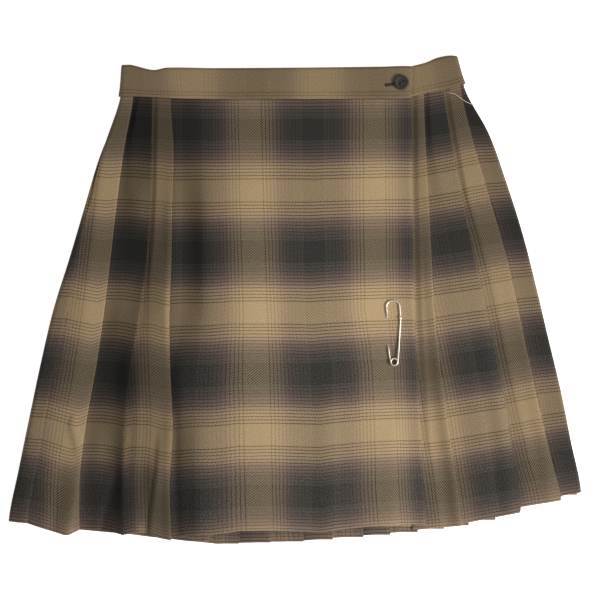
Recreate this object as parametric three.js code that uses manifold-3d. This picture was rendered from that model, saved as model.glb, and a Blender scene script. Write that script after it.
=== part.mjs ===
// A knife-pleated plaid wrap skirt laid flat on its back: sides and back pleated, a plain
// over-apron closing to the right on a plain under-apron, one waistband all round, a button
// in its buttonhole and a wire pin through the apron. Millimetres, +X right, +Y waist, +Z up.
import * as THREE from "three";
import Module from "manifold-3d";

// Driving dimensions
const WALL = 1;
const GAP = 0.3;
const LAYER = WALL + GAP;
const PLEAT_CLOTH = 65.6;
const PLEAT_RISE = 6;
const PLEAT_LEAD = 1.2;
const SHALLOWEST_PLEAT = 3.4;
const BAND_WALL = 2;
const PIN_WIRE = 1.8;
const PIN_FACETS = 4;
const PIN_ROOM = 0.5;
const BUTTON_DIAMETER = 16;
const BUTTON_THICKNESS = 3.2;
const BUTTONHOLE = { length: 18, width: 1, x: 106.5, y: 233.4 };

// Levels of the sections, from the waist seam to the hem. The left side takes closer ones
// where its first fold edge goes round the side.
const ROWS = [0, 0.125, 0.25, 0.375, 0.5, 0.625, 0.75, 0.875, 1];
const LEFT_ROWS = [0, 0.05, 0.1, 0.15, 0.2, 0.25, 0.3, 0.36, 0.43, 0.5, 0.625, 0.75, 0.875, 1];

// Heights of the stacked layers, taken at the middle of each wall
const BACK_HEIGHT = 3 * LAYER - GAP;
const UNDER_Z = BACK_HEIGHT + GAP + WALL / 2;
const PIN_UNDER_Z = UNDER_Z + WALL / 2 + PIN_ROOM + PIN_WIRE / 2;
const APRON_Z = PIN_UNDER_Z + PIN_WIRE / 2 + PIN_ROOM + WALL / 2;
const PIN_OVER_Z = APRON_Z + WALL / 2 + GAP + PIN_WIRE / 2;
const RIGHT_HEIGHT = UNDER_Z + 2 * LAYER + WALL / 2;
const LEFT_HEIGHT = APRON_Z + 2 * LAYER + WALL / 2;

// Lines from waist seam to hem. x is read at the seam, the quarters and the hem.
const LINES = {
  leftSide: [-188.5, -225.5, -259.5, -285, -308],
  rightSide: [182, 228.5, 259.5, 285.5, 308],
  apronStart: [-134, -133, -136.5, -131.5, -134.5],
  apronEdge: [125, 126.5, 128, 134.5, 141],
  underEdge: [-118, -121, -123, -125, -127],
};

// Right front pleats, from the apron outwards: fold edge, then hem height at both its ends
const RIGHT_PLEATS = [
  { name: "strip", x: [138, 143, 148.5, 163.5, 178.5], hemStart: -240.5, hemEnd: -241 },
  { name: "second", x: [159, 177.5, 203, 225, 242], hemStart: -239, hemEnd: -229 },
  { name: "third", x: [176.6, 204, 235, 259, 285.5], hemStart: -223.5, hemEnd: -214 },
];
const RIGHT_SIDE_HEM = { start: -211.5, end: -206 };

// Left front pleats, from the side towards the apron. The first fold edge is measured
// round the side: it lies behind the side at the waist and in front of it below.
const LEFT_PLEATS = [
  { name: "side", round: [-9, 5.2, 20.6, 22.4, 25], hemStart: -237, hemEnd: -238.5 },
  { name: "pale", x: [-173, -191.5, -205, -224, -231.5], hemStart: -240, hemEnd: -247 },
  { name: "dark", x: [-153, -155.5, -167.5, -183, -184], hemStart: -247, hemEnd: -252 },
  { name: "olive", x: LINES.apronStart, hemStart: -249.5, hemEnd: -257.5 },
];

// Back pleats, right to left: fold edge at the waist seam and at the hem
const BACK_PLEATS = [
  { waist: 166.5, hem: 291.5 },
  { waist: 147.5, hem: 256 },
  { waist: 128, hem: 224.5 },
  { waist: 109, hem: 196.5 },
  { waist: 89.5, hem: 168 },
  { waist: 70.5, hem: 141 },
  { waist: 51, hem: 113 },
  { waist: 32, hem: 84 },
  { waist: 12.5, hem: 55 },
  { waist: -6.5, hem: 23.5 },
  { waist: -26, hem: -8 },
  { waist: -45.5, hem: -42 },
  { waist: -64.5, hem: -76 },
  { waist: -84, hem: -109.5 },
  { waist: -103, hem: -148.5 },
  { waist: -122.5, hem: -192.5 },
  { waist: -141.5, hem: -241 },
  { waist: -161, hem: -291.5 },
];

// Seam and hem heights across the skirt, each a short run of x and y
const FRONT_SEAM = [
  { x: -188.5, y: 220 }, { x: -173, y: 220 }, { x: -134.5, y: 218 },
  { x: -86, y: 217 }, { x: 5.5, y: 217 }, { x: 125, y: 218 },
];
const RIGHT_SEAM = [
  { x: -127, y: 212 }, { x: 60, y: 213 }, { x: 112, y: 217 }, { x: 126, y: 220 },
  { x: 145, y: 224.5 }, { x: 159, y: 227 }, { x: 182, y: 233.5 },
];
const BACK_SEAM = [
  { x: -188.5, y: 220 }, { x: -130, y: 211 }, { x: 0, y: 205 },
  { x: 110, y: 211 }, { x: 150, y: 222 }, { x: 182, y: 233.5 },
];
const APRON_HEM = [
  { x: -135, y: -255 }, { x: -131, y: -254.5 }, { x: -112, y: -252 }, { x: -89, y: -251.5 },
  { x: -59, y: -247.5 }, { x: -24, y: -247 }, { x: 29, y: -249 }, { x: 43, y: -246.5 },
  { x: 78.5, y: -243 }, { x: 115, y: -240.5 }, { x: 141, y: -240.5 },
];
const BACK_HEM = [
  { x: -308, y: -237 }, { x: -252.5, y: -245 }, { x: -188, y: -250.5 }, { x: -123.5, y: -258 },
  { x: -84, y: -262 }, { x: -43, y: -260.5 }, { x: 5.5, y: -259 }, { x: 37.5, y: -256 },
  { x: 70, y: -253.5 }, { x: 102, y: -250.5 }, { x: 129, y: -249 }, { x: 156, y: -244.5 },
  { x: 183, y: -242 }, { x: 220.5, y: -231 }, { x: 263.5, y: -217 }, { x: 308, y: -206 },
];
const UNDER_HEM = -243;

// Waistband, a row for each station from the hidden under end round to the button end
const BAND = {
  under: [
    { seamX: -116, seamY: 212, topX: -116, topY: 241 },
    { seamX: 60, seamY: 213.3, topX: 58, topY: 242.5 },
    { seamX: 112, seamY: 217.3, topX: 106, topY: 246 },
    { seamX: 126, seamY: 220.3, topX: 122, topY: 250 },
    { seamX: 145, seamY: 224.8, topX: 140, topY: 254.5 },
    { seamX: 159, seamY: 227.3, topX: 152, topY: 259.5 },
    { seamX: 172, seamY: 231, topX: 164, topY: 262 },
  ],
  rightSide: { seamX: 182, seamY: 233.8, topX: 174.5, topY: 262 },
  back: [
    { seamX: 172, seamY: 231, topX: 164, topY: 260 },
    { seamX: 148, seamY: 222, topX: 140, topY: 251 },
    { seamX: 110, seamY: 211.3, topX: 106, topY: 240.5 },
    { seamX: 0, seamY: 205.3, topX: 0, topY: 234.5 },
    { seamX: -130, seamY: 211.3, topX: -127, topY: 240.5 },
    { seamX: -178, seamY: 218.7, topX: -175, topY: 248 },
  ],
  leftSide: { seamX: -188.5, seamY: 220.3, topX: -186.5, topY: 252 },
  over: [
    { seamX: -178, seamY: 220.3, topX: -176, topY: 252 },
    { seamX: -152, seamY: 219.2, topX: -152, topY: 246.5 },
    { seamX: -134.5, seamY: 218.3, topX: -137, topY: 249 },
    { seamX: -86, seamY: 217.3, topX: -86, topY: 248.5 },
    { seamX: 5.5, seamY: 217.3, topX: 5.5, topY: 249 },
    { seamX: 91.5, seamY: 217.8, topX: 91.5, topY: 250 },
    { seamX: 122, seamY: 218.3, topX: 124.5, topY: 250.5 },
    { seamX: 126.5, seamY: 221.5, topX: 127.2, topY: 247.5 },
  ],
};
const BAND_Z = { back: 1, under: UNDER_Z, right: 6.2, over: APRON_Z + 0.3 };
const BAND_RISE_FROM = 118;
const BAND_RISE_TO = 140;

// Wire pin, seen from above: round coil below, two arms, a hoop above
const PIN = {
  armLeft: { x: 99.6, top: -17, dipsAt: -24.5, risesAt: -47.5 },
  armRight: { x: 113, top: -20 },
  hoop: { x: 106, y: -13, radiusX: 7, radiusY: 13 },
  coil: { x: 107, y: -66, radius: 3.2 },
  dip: 7,
  stop: { length: 4, radius: 1.6 },
};
const BUTTON = { x: 114.5, y: 234.3 };
const BUTTON_HOLES = { radius: 1, apart: 4.4, slant: 0.5 };

// Soft ridges of the apron near its hem: x at the hem, width, height
const APRON_RIDGES = [
  { x: -104, width: 13, height: 2.2 },
  { x: 36, width: 11, height: 1.4 },
  { x: 104, width: 16, height: 1.2 },
];

const COLOURS = {
  cloth: 0x8a7866,
  clothDark: 0x5c544c,
  button: 0x34302e,
  steel: 0xc4c4c6,
};

const wasm = await Module();
wasm.setup();

const lerp = THREE.MathUtils.lerp;
const clamp = THREE.MathUtils.clamp;

// Value of a five-station line at level t, from 0 at the waist seam to 1 at the hem
function atLevel(line, t) {
  const points = line.map((value, index) => new THREE.Vector2(index, value));
  return new THREE.SplineCurve(points).getPoint(t).y;
}

// Height y of a run of x and y at x
function along(run, x) {
  const last = run.length - 1;
  const next = clamp(run.findIndex((point) => point.x >= x), 0, last);
  const i = run[last].x < x ? last : Math.max(next, 1);
  const a = run[i - 1];
  const b = run[i];
  return lerp(a.y, b.y, clamp((x - a.x) / (b.x - a.x), 0, 1));
}

// The two faces of a wall whose middle line is a path of { x, z }, with mitred corners
function wallFaces(path, wall) {
  const heading = (a, b) => {
    const length = Math.hypot(b.x - a.x, b.z - a.z);
    return { x: (b.x - a.x) / length, z: (b.z - a.z) / length };
  };
  const end = path.length - 1;
  const headings = path.slice(1).map((point, j) => heading(path[j], point));
  return [-1, 1].map((side) => path.map((point, j) => {
    const before = headings[Math.max(j - 1, 0)];
    const after = headings[Math.min(j, end - 1)];
    const scale = (side * wall) / (2 * (1 + before.x * after.x + before.z * after.z));
    return {
      x: point.x - scale * (before.z + after.z),
      z: point.z + scale * (before.x + after.x),
    };
  }));
}

// A closed wall from rows of two faces; rows[i][face][j] is a Vector3
function wallSolid(rows) {
  const count = rows[0][0].length;
  const positions = [];
  rows.forEach((faces) => faces.flat().forEach((p) => positions.push(p.x, p.y, p.z)));
  const id = (row, face, j) => (row * 2 + face) * count + j;
  const indices = [];
  const quad = (a, b, c, d) => indices.push(a, b, c, a, c, d);
  const lastRow = rows.length - 1;
  for (let row = 0; row < lastRow; row += 1) {
    for (let j = 0; j < count - 1; j += 1) {
      quad(id(row, 0, j), id(row, 0, j + 1), id(row + 1, 0, j + 1), id(row + 1, 0, j));
      quad(id(row, 1, j), id(row + 1, 1, j), id(row + 1, 1, j + 1), id(row, 1, j + 1));
    }
    const end = count - 1;
    quad(id(row, 0, 0), id(row + 1, 0, 0), id(row + 1, 1, 0), id(row, 1, 0));
    quad(id(row, 0, end), id(row, 1, end), id(row + 1, 1, end), id(row + 1, 0, end));
  }
  for (let j = 0; j < count - 1; j += 1) {
    quad(id(0, 0, j), id(0, 1, j), id(0, 1, j + 1), id(0, 0, j + 1));
    quad(id(lastRow, 0, j), id(lastRow, 0, j + 1), id(lastRow, 1, j + 1), id(lastRow, 1, j));
  }
  const geometry = new THREE.BufferGeometry();
  geometry.setAttribute("position", new THREE.Float32BufferAttribute(positions, 3));
  geometry.setIndex(indices);
  return facingOut(geometry);
}

// Turns a closed geometry the right way out by the sign of its volume
function facingOut(geometry) {
  const position = geometry.getAttribute("position");
  const index = geometry.getIndex();
  const corner = (k) => new THREE.Vector3().fromBufferAttribute(position, index.getX(k));
  let volume = 0;
  for (let k = 0; k < index.count; k += 3) {
    volume += corner(k).dot(corner(k + 1).cross(corner(k + 2)));
  }
  if (volume < 0) {
    for (let k = 0; k < index.count; k += 3) {
      const first = index.getX(k);
      index.setX(k, index.getX(k + 1));
      index.setX(k + 1, first);
    }
  }
  return geometry;
}

// Side of the folded tube. Front, round the side and back make one line s that is 0 at the
// outermost point; depth goes inwards from the outer face of the cloth.
class Side {
  constructor(line, height, direction) {
    this.line = line;
    this.height = height;
    this.radius = height / 2;
    this.quarter = (Math.PI * this.radius) / 2;
    this.direction = direction;
  }

  front(x, t) {
    const inward = (x - atLevel(this.line, t)) * this.direction;
    return this.direction * (inward - this.radius + this.quarter);
  }

  back(x, t) {
    return -this.front(x, t);
  }

  place(s, depth, t) {
    const edge = atLevel(this.line, t);
    const run = this.direction * s;
    const outer = this.radius - WALL / 2;
    if (Math.abs(run) > this.quarter) {
      const inward = this.radius + Math.abs(run) - this.quarter;
      const z = run > 0 ? this.height - WALL / 2 - depth : WALL / 2 + depth;
      return { x: edge + this.direction * inward, z };
    }
    const angle = run / this.radius;
    const reach = outer - depth;
    return {
      x: edge + this.direction * (this.radius - reach * Math.cos(angle)),
      z: this.radius + reach * Math.sin(angle),
    };
  }

  isBack(s) {
    return this.direction * s < 0;
  }

  stops() {
    const thirds = [-3, -2, -1, 0, 1, 2, 3];
    return thirds.map((third) => (third / 3) * this.quarter);
  }
}

const leftSide = new Side(LINES.leftSide, LEFT_HEIGHT, 1);
const rightSide = new Side(LINES.rightSide, RIGHT_HEIGHT, -1);

// Overlap behind a fold edge: what its cloth leaves over, as far as three layers allow
function overlap(shown, share = 1) {
  const spare = (PLEAT_CLOTH - shown) / 2;
  const room = share * (shown - PLEAT_RISE - PLEAT_LEAD - 1);
  return Math.max(SHALLOWEST_PLEAT, Math.min(spare, room));
}

// Corners of a run of knife pleats. Each fold: the fold edge s, its overlap, where the
// cloth rises from under the last pleat, and whether it needs points round the side.
function pleatPath(start, folds, end, stops) {
  const path = [];
  const add = (s, depth, hem) => path.push({ s, depth, hem });
  const spread = (from, to, hem) => {
    const step = 0.2;
    const clear = 0.6 * WALL;
    stops.forEach((stop, k) => {
      const low = from + clear + step * k;
      const high = to - clear - step * (stops.length - 1 - k);
      add(clamp(stop, low, high), 0, hem);
    });
  };
  add(start, 2 * LAYER, folds[0].hidden);
  folds.forEach((fold) => {
    add(fold.riseFrom, 2 * LAYER, fold.hidden);
    add(fold.riseTo, 0, fold.shown);
    if (fold.turns) spread(fold.riseTo, fold.s, fold.shown);
    add(fold.s, 0, fold.shown);
    add(fold.s, LAYER, fold.edge);
    add(fold.s - fold.overlap, LAYER, fold.edge);
    add(fold.s - fold.overlap, 2 * LAYER, fold.edge);
  });
  add(end, 2 * LAYER, folds[folds.length - 1].edge);
  return path;
}

// Cloth between waist seam and hem. pathAt(t) gives the middle line, place(s, depth, t) its
// x and z, seamAt(point) and point.hem(point) the heights where each point starts and ends.
function clothSolid({ pathAt, place, seamAt, rows, lift }) {
  const spot = (point, t) => {
    const at = place(point.s, point.depth, t);
    return { ...point, x: at.x, z: at.z };
  };
  const seam = pathAt(0).map((point) => seamAt(spot(point, 0)) - GAP);
  const hem = pathAt(1).map((point) => point.hem(spot(point, 1)));
  const levels = [];
  rows.forEach((t) => {
    const middle = pathAt(t).map((point) => {
      const at = place(point.s, point.depth, t);
      return { x: at.x, z: at.z + (lift ? lift(at.x, t) : 0) };
    });
    levels.push(wallFaces(middle, WALL).map((face) => face.map(
      (point, j) => new THREE.Vector3(point.x, lerp(seam[j], hem[j], t), point.z),
    )));
  });
  return wallSolid(levels);
}

// Where the back fold edge i lies at level t: its place between both sides runs evenly
function backFoldX(i, t) {
  const { waist, hem } = BACK_PLEATS[i];
  const share = (x, level) => {
    const left = atLevel(LINES.leftSide, level);
    return (x - left) / (atLevel(LINES.rightSide, level) - left);
  };
  const part = lerp(share(waist, 0), share(hem, 1), t);
  return lerp(atLevel(LINES.leftSide, t), atLevel(LINES.rightSide, t), part);
}

// A line that runs straight between its values at the waist, the quarters and the hem
function straight(line, t) {
  const quarter = Math.min(Math.floor(t * 4), 3);
  return lerp(line(quarter / 4), line((quarter + 1) / 4), t * 4 - quarter);
}

// Overlap of back fold i, from the width shown between it and the fold before
function backOverlap(i, t) {
  const x = backFoldX(i, t);
  if (i > 0) return overlap(backFoldX(i - 1, t) - x);
  const s = rightSide.back(x, t);
  const shown = s - rightSide.front(atLevel(RIGHT_PLEATS[2].x, t), t);
  return Math.min(overlap(shown), s - rightSide.quarter - WALL);
}

// Seam between two of the back's solids, hidden in the overlap of back fold i
function backSeamX(i, t) {
  return straight((level) => backFoldX(i, level) + backOverlap(i, level) / 2, t);
}

const lastBack = BACK_PLEATS.length - 1;
const backHemAt = (point) => along(BACK_HEM, point.x);
const backSeamAt = (point) => along(BACK_SEAM, point.x);

// Hem height along a front pleat from its hidden start to its fold edge
function frontHem(row, from, to) {
  const share = (s) => clamp((s - from) / (to - from), 0, 1);
  return (point) => lerp(row.hemStart, row.hemEnd, share(point.s));
}

function rightPleats() {
  const pathAt = (t) => {
    const apronEdge = rightSide.front(atLevel(LINES.apronEdge, t), t);
    const folds = [];
    let last = apronEdge;
    RIGHT_PLEATS.forEach((row, i) => {
      const s = rightSide.front(atLevel(row.x, t), t);
      const deep = overlap(s - last, i === 0 ? 0.75 : 1);
      const hem = frontHem(row, last, s);
      const riseTo = i === 0 ? s - deep - 1 : last + PLEAT_LEAD + PLEAT_RISE;
      folds.push({
        s, overlap: deep, riseFrom: last + PLEAT_LEAD, riseTo,
        hidden: () => row.hemStart, shown: hem, edge: () => row.hemEnd,
      });
      last = s;
    });
    const s = rightSide.back(backFoldX(0, t), t);
    const start = last;
    const round = (point) => {
      if (rightSide.isBack(point.s)) return backHemAt(point);
      const share = clamp((point.s - start) / -start, 0, 1);
      return lerp(RIGHT_SIDE_HEM.start, RIGHT_SIDE_HEM.end, share);
    };
    const deep = backOverlap(0, t);
    folds.push({
      s, overlap: deep, riseFrom: last + PLEAT_LEAD,
      riseTo: last + PLEAT_LEAD + PLEAT_RISE, turns: true,
      hidden: () => RIGHT_SIDE_HEM.start, shown: round, edge: backHemAt,
    });
    const begin = apronEdge - 15;
    const end = rightSide.back(backSeamX(0, t) + GAP / 2, t);
    return pleatPath(begin, folds, end, rightSide.stops());
  };
  const seamAt = (point) =>
    (rightSide.isBack(point.s) ? backSeamAt(point) : along(RIGHT_SEAM, point.x));
  const place = (s, depth, t) => rightSide.place(s, depth, t);
  return clothSolid({ pathAt, place, seamAt, rows: ROWS });
}

function backPleats() {
  const pathAt = (t) => {
    const folds = [];
    for (let i = 1; i < lastBack; i += 1) {
      const before = -backFoldX(i - 1, t);
      folds.push({
        s: -backFoldX(i, t), overlap: backOverlap(i, t),
        riseFrom: before + PLEAT_LEAD, riseTo: before + PLEAT_LEAD + PLEAT_RISE,
        hidden: backHemAt, shown: backHemAt, edge: backHemAt,
      });
    }
    const begin = GAP / 2 - backSeamX(0, t);
    const end = -GAP / 2 - backSeamX(lastBack - 1, t);
    return pleatPath(begin, folds, end, []);
  };
  const place = (s, depth) => ({ x: -s, z: WALL / 2 + depth });
  return clothSolid({ pathAt, place, seamAt: backSeamAt, rows: ROWS });
}

function leftPleats() {
  const pathAt = (t) => {
    const s = leftSide.back(backFoldX(lastBack, t), t);
    const before = leftSide.back(backFoldX(lastBack - 1, t), t);
    const folds = [{
      s, overlap: backOverlap(lastBack, t),
      riseFrom: before + PLEAT_LEAD, riseTo: before + PLEAT_LEAD + PLEAT_RISE,
      hidden: backHemAt, shown: backHemAt, edge: backHemAt,
    }];
    let last = s;
    LEFT_PLEATS.forEach((row, i) => {
      const edge = row.round ? atLevel(row.round, t) : leftSide.front(atLevel(row.x, t), t);
      const hemFrom = i === 0 ? 0 : last;
      const front = frontHem(row, hemFrom, edge);
      const shown = (point) => (leftSide.isBack(point.s) ? backHemAt(point) : front(point));
      const room = Math.max(SHALLOWEST_PLEAT, edge - leftSide.quarter - WALL);
      folds.push({
        s: edge, overlap: Math.min(room, overlap(edge - last)), riseFrom: last + PLEAT_LEAD,
        riseTo: last + PLEAT_LEAD + PLEAT_RISE, turns: i < 2,
        hidden: i === 0 ? backHemAt : () => row.hemStart, shown, edge: () => row.hemEnd,
      });
      last = edge;
    });
    const begin = leftSide.back(backSeamX(lastBack - 1, t) - GAP / 2, t);
    const end = leftSide.front(apronSeamX(t) - GAP / 2, t);
    return pleatPath(begin, folds, end, leftSide.stops());
  };
  const seamAt = (point) =>
    (leftSide.isBack(point.s) ? backSeamAt(point) : along(FRONT_SEAM, point.x));
  const place = (s, depth, t) => leftSide.place(s, depth, t);
  return clothSolid({ pathAt, place, seamAt, rows: LEFT_ROWS });
}

// Rise of the apron over its soft ridges, none in its upper part
function apronLift(x, t) {
  const grown = THREE.MathUtils.smoothstep(t, 0.55, 1);
  return APRON_RIDGES.reduce((sum, ridge) => {
    const away = (x - ridge.x) / ridge.width;
    return sum + ridge.height * grown * Math.exp(-away * away);
  }, 0);
}

// Seam between the left pleats and the apron, hidden in the overlap of the last left fold
function apronSeamX(t) {
  return straight((level) => {
    const fold = atLevel(LINES.apronStart, level);
    return fold - overlap(fold - atLevel(LEFT_PLEATS[2].x, level)) / 2;
  }, t);
}

// Plain cloth spread flat between two lines, with even points across
function flatCloth({ leftLine, rightLine, z, columns, seam, hem, lift }) {
  const pathAt = (t) => {
    const left = leftLine(t);
    const right = rightLine(t);
    return Array.from({ length: columns + 1 }, (_, j) => ({
      s: lerp(left, right, j / columns), depth: 0, hem,
    }));
  };
  const place = (s, depth) => ({ x: s, z: z + depth });
  return clothSolid({ pathAt, place, seamAt: seam, rows: ROWS, lift });
}

function overApron() {
  return flatCloth({
    leftLine: (t) => apronSeamX(t) + GAP / 2, rightLine: (t) => atLevel(LINES.apronEdge, t),
    z: APRON_Z, columns: 22,
    seam: (point) => along(FRONT_SEAM, point.x),
    hem: (point) => along(APRON_HEM, point.x), lift: apronLift,
  });
}

function underApron() {
  return flatCloth({
    leftLine: (t) => atLevel(LINES.underEdge, t),
    rightLine: (t) => atLevel(LINES.apronEdge, t) - 15 - GAP, z: UNDER_Z, columns: 6,
    seam: (point) => along(RIGHT_SEAM, point.x), hem: () => UNDER_HEM,
  });
}

// Stations round a side of the band, as a half circle standing on its edge
function bandTurn(row, inward, low, high, steps) {
  const middle = (low + high) / 2;
  const radius = (high - low) / 2;
  const stations = [];
  for (let k = 0; k <= steps; k += 1) {
    const angle = -Math.PI / 2 + (Math.PI * k) / steps;
    const shift = inward * (radius + BAND_WALL / 2 - radius * Math.cos(angle));
    stations.push({
      ...row, seamX: row.seamX + shift, topX: row.topX + shift,
      z: middle + radius * Math.sin(angle),
    });
  }
  return stations;
}

function waistband() {
  const at = (rows, z) => rows.map((row) => ({ ...row, z: z(row) }));
  const rise = (row) => {
    const share = THREE.MathUtils.smoothstep(row.seamX, BAND_RISE_FROM, BAND_RISE_TO);
    return lerp(BAND_Z.under, BAND_Z.right, share);
  };
  const turnSteps = 6;
  const stations = [
    ...at(BAND.under, rise),
    ...bandTurn(BAND.rightSide, -1, BAND_Z.back, BAND_Z.right, turnSteps).reverse(),
    ...at(BAND.back, () => BAND_Z.back),
    ...bandTurn(BAND.leftSide, 1, BAND_Z.back, BAND_Z.over, turnSteps),
    ...at(BAND.over, () => BAND_Z.over),
  ];
  const row = (x, y) => {
    const path = stations.map((station) => ({ x: x(station), z: station.z }));
    return wallFaces(path, BAND_WALL).map((face) => face.map(
      (point, j) => new THREE.Vector3(point.x, y(stations[j]), point.z),
    ));
  };
  const rows = [0, 1].map((part) => row(
    (station) => lerp(station.seamX, station.topX, part),
    (station) => lerp(station.seamY, station.topY, part),
  ));
  return wallSolid(rows);
}

// A merged, indexed copy of a geometry as a solid for joining and cutting
function toSolid(geometry) {
  const seen = new Map();
  const vertices = [];
  const position = geometry.getAttribute("position");
  const index = geometry.getIndex();
  const total = index ? index.count : position.count;
  const triangles = [];
  for (let k = 0; k < total; k += 1) {
    const point = new THREE.Vector3().fromBufferAttribute(position, index ? index.getX(k) : k);
    const key = point.toArray().map((value) => Math.round(value * 1e4)).join(",");
    if (!seen.has(key)) {
      seen.set(key, vertices.length / 3);
      vertices.push(point.x, point.y, point.z);
    }
    triangles.push(seen.get(key));
  }
  const kept = [];
  for (let k = 0; k < triangles.length; k += 3) {
    const [a, b, c] = triangles.slice(k, k + 3);
    if (a !== b && b !== c && c !== a) kept.push(a, b, c);
  }
  return new wasm.Manifold(new wasm.Mesh({
    numProp: 3,
    vertProperties: new Float32Array(vertices),
    triVerts: new Uint32Array(kept),
  }));
}

function toGeometry(solid) {
  const mesh = solid.getMesh();
  const geometry = new THREE.BufferGeometry();
  geometry.setAttribute("position", new THREE.BufferAttribute(mesh.vertProperties, 3));
  geometry.setIndex(new THREE.BufferAttribute(mesh.triVerts, 1));
  return geometry;
}

// Route of the wire: from the catch over the hoop, down the right arm, round the coil and
// up the left arm, which passes under the apron between two holes
function pinRoute() {
  const { armLeft, armRight, hoop, coil, dip } = PIN;
  const over = PIN_OVER_Z;
  const route = [];
  const hoopSteps = 10;
  for (let k = 0; k <= hoopSteps; k += 1) {
    const angle = Math.PI - (Math.PI * k) / hoopSteps;
    const y = hoop.y + hoop.radiusY * Math.sin(angle);
    route.push(new THREE.Vector3(hoop.x + hoop.radiusX * Math.cos(angle), y, over));
  }
  route.push(new THREE.Vector3(armRight.x, armRight.top - 12, over));
  route.push(new THREE.Vector3(armRight.x - 0.6, armRight.top - 28, over));
  const coilSteps = 14;
  const coilLift = PIN_WIRE + GAP;
  for (let k = 0; k <= coilSteps; k += 1) {
    const angle = -2 * Math.PI * (1.25 * k) / coilSteps + 0.2 * Math.PI;
    const rise = coilLift * (1 - k / coilSteps);
    route.push(new THREE.Vector3(
      coil.x + coil.radius * Math.cos(angle), coil.y + coil.radius * Math.sin(angle),
      over + rise,
    ));
  }
  route.push(new THREE.Vector3(armLeft.x + 1.6, coil.y + 9, over));
  route.push(new THREE.Vector3(armLeft.x + 0.8, armLeft.risesAt - 0.5, over - 0.3));
  route.push(new THREE.Vector3(armLeft.x + 0.6, armLeft.risesAt + dip, PIN_UNDER_Z));
  route.push(new THREE.Vector3(armLeft.x + 0.2, armLeft.dipsAt - dip, PIN_UNDER_Z));
  route.push(new THREE.Vector3(armLeft.x - 0.3, armLeft.dipsAt + 0.5, over - 0.3));
  route.push(new THREE.Vector3(armLeft.x - 0.6, armLeft.top, over));
  return new THREE.CatmullRomCurve3(route, false, "centripetal");
}

function wire(curve, radius, steps) {
  const section = new THREE.Shape();
  section.absarc(0, 0, radius, 0, 2 * Math.PI);
  return new THREE.ExtrudeGeometry(section, {
    steps, curveSegments: PIN_FACETS, bevelEnabled: false, extrudePath: curve,
  });
}

// The pin's wire with the small stop at the catch
function kiltPin(curve) {
  const steps = 90;
  const stop = new THREE.CylinderGeometry(PIN.stop.radius, PIN.stop.radius, PIN.stop.length, 10);
  stop.translate(PIN.armRight.x, PIN.armRight.top, PIN_OVER_Z + PIN.stop.radius - PIN_WIRE / 2);
  return toGeometry(toSolid(wire(curve, PIN_WIRE / 2, steps)).add(toSolid(stop)));
}

// Apron with the two slots where the pin's arm goes through
function piercedApron(curve) {
  const clearance = wire(curve, PIN_WIRE / 2 + GAP + 0.1, 90);
  return toGeometry(toSolid(overApron()).subtract(toSolid(clearance)));
}

// Waistband with the slit of its buttonhole
function slitWaistband() {
  const slit = new THREE.BoxGeometry(BUTTONHOLE.length, BUTTONHOLE.width, 2 * BAND_WALL);
  slit.translate(BUTTONHOLE.x, BUTTONHOLE.y, BAND_Z.over);
  return toGeometry(toSolid(waistband()).subtract(toSolid(slit)));
}

// Dished button with a raised rim and two sewing holes on a slant
function button() {
  const radius = BUTTON_DIAMETER / 2;
  const high = BUTTON_THICKNESS;
  const profile = [
    [0, 0], [radius * 0.72, 0], [radius * 0.95, high * 0.28], [radius, high * 0.55],
    [radius * 0.95, high * 0.88], [radius * 0.84, high], [radius * 0.7, high * 0.86],
    [radius * 0.55, high * 0.6], [radius * 0.3, high * 0.5], [0, high * 0.48],
  ].map(([x, y]) => new THREE.Vector2(x, y));
  const lathe = new THREE.LatheGeometry(profile, 28);
  let solid = toSolid(lathe);
  const away = BUTTON_HOLES.apart / 2;
  [-1, 1].forEach((side) => {
    const { radius: holeRadius, slant } = BUTTON_HOLES;
    const hole = new THREE.CylinderGeometry(holeRadius, holeRadius, 3 * high, 10);
    hole.translate(side * away * Math.cos(slant), 0, side * away * Math.sin(slant));
    solid = solid.subtract(toSolid(hole));
  });
  return toGeometry(solid);
}

const group = new THREE.Group();
group.name = "plaid_wrap_skirt";

function addMesh(name, geometry, colour, roughness, metalness) {
  geometry.computeVertexNormals();
  const material = new THREE.MeshStandardMaterial({ color: colour, roughness, metalness });
  const mesh = new THREE.Mesh(geometry, material);
  mesh.name = name;
  group.add(mesh);
  return mesh;
}

addMesh("back_pleats", backPleats(), COLOURS.clothDark, 0.92, 0);
addMesh("right_pleats", rightPleats(), COLOURS.clothDark, 0.92, 0);
addMesh("left_pleats", leftPleats(), COLOURS.clothDark, 0.92, 0);
addMesh("under_apron", underApron(), COLOURS.cloth, 0.92, 0);
const pinCurve = pinRoute();
addMesh("over_apron", piercedApron(pinCurve), COLOURS.cloth, 0.92, 0);
addMesh("waistband", slitWaistband(), COLOURS.cloth, 0.92, 0);
addMesh("kilt_pin", kiltPin(pinCurve), COLOURS.steel, 0.3, 1);
const buttonMesh = addMesh("button", button(), COLOURS.button, 0.4, 0);
buttonMesh.rotation.x = Math.PI / 2;
buttonMesh.position.set(BUTTON.x, BUTTON.y, BAND_Z.over + BAND_WALL / 2 + GAP);

export default group;
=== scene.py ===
"""Looks of a knife-pleated plaid wrap skirt laid flat, front up.

Sizes are in millimetres, and meshes are in metres: +X to the right along the hem, +Y from hem to
waist, +Z up from the floor. A level t is 0 at the waist seam and 1 at the hem. A run s goes along
the folded tube of cloth, through front, side and back, and is 0 at a side's outermost point.
"""

import logging
import math
from dataclasses import dataclass, field
from enum import Enum
from typing import Callable, NamedTuple, Sequence

import bmesh
import bpy
import numpy as np
from mathutils import Matrix, Vector

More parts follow.
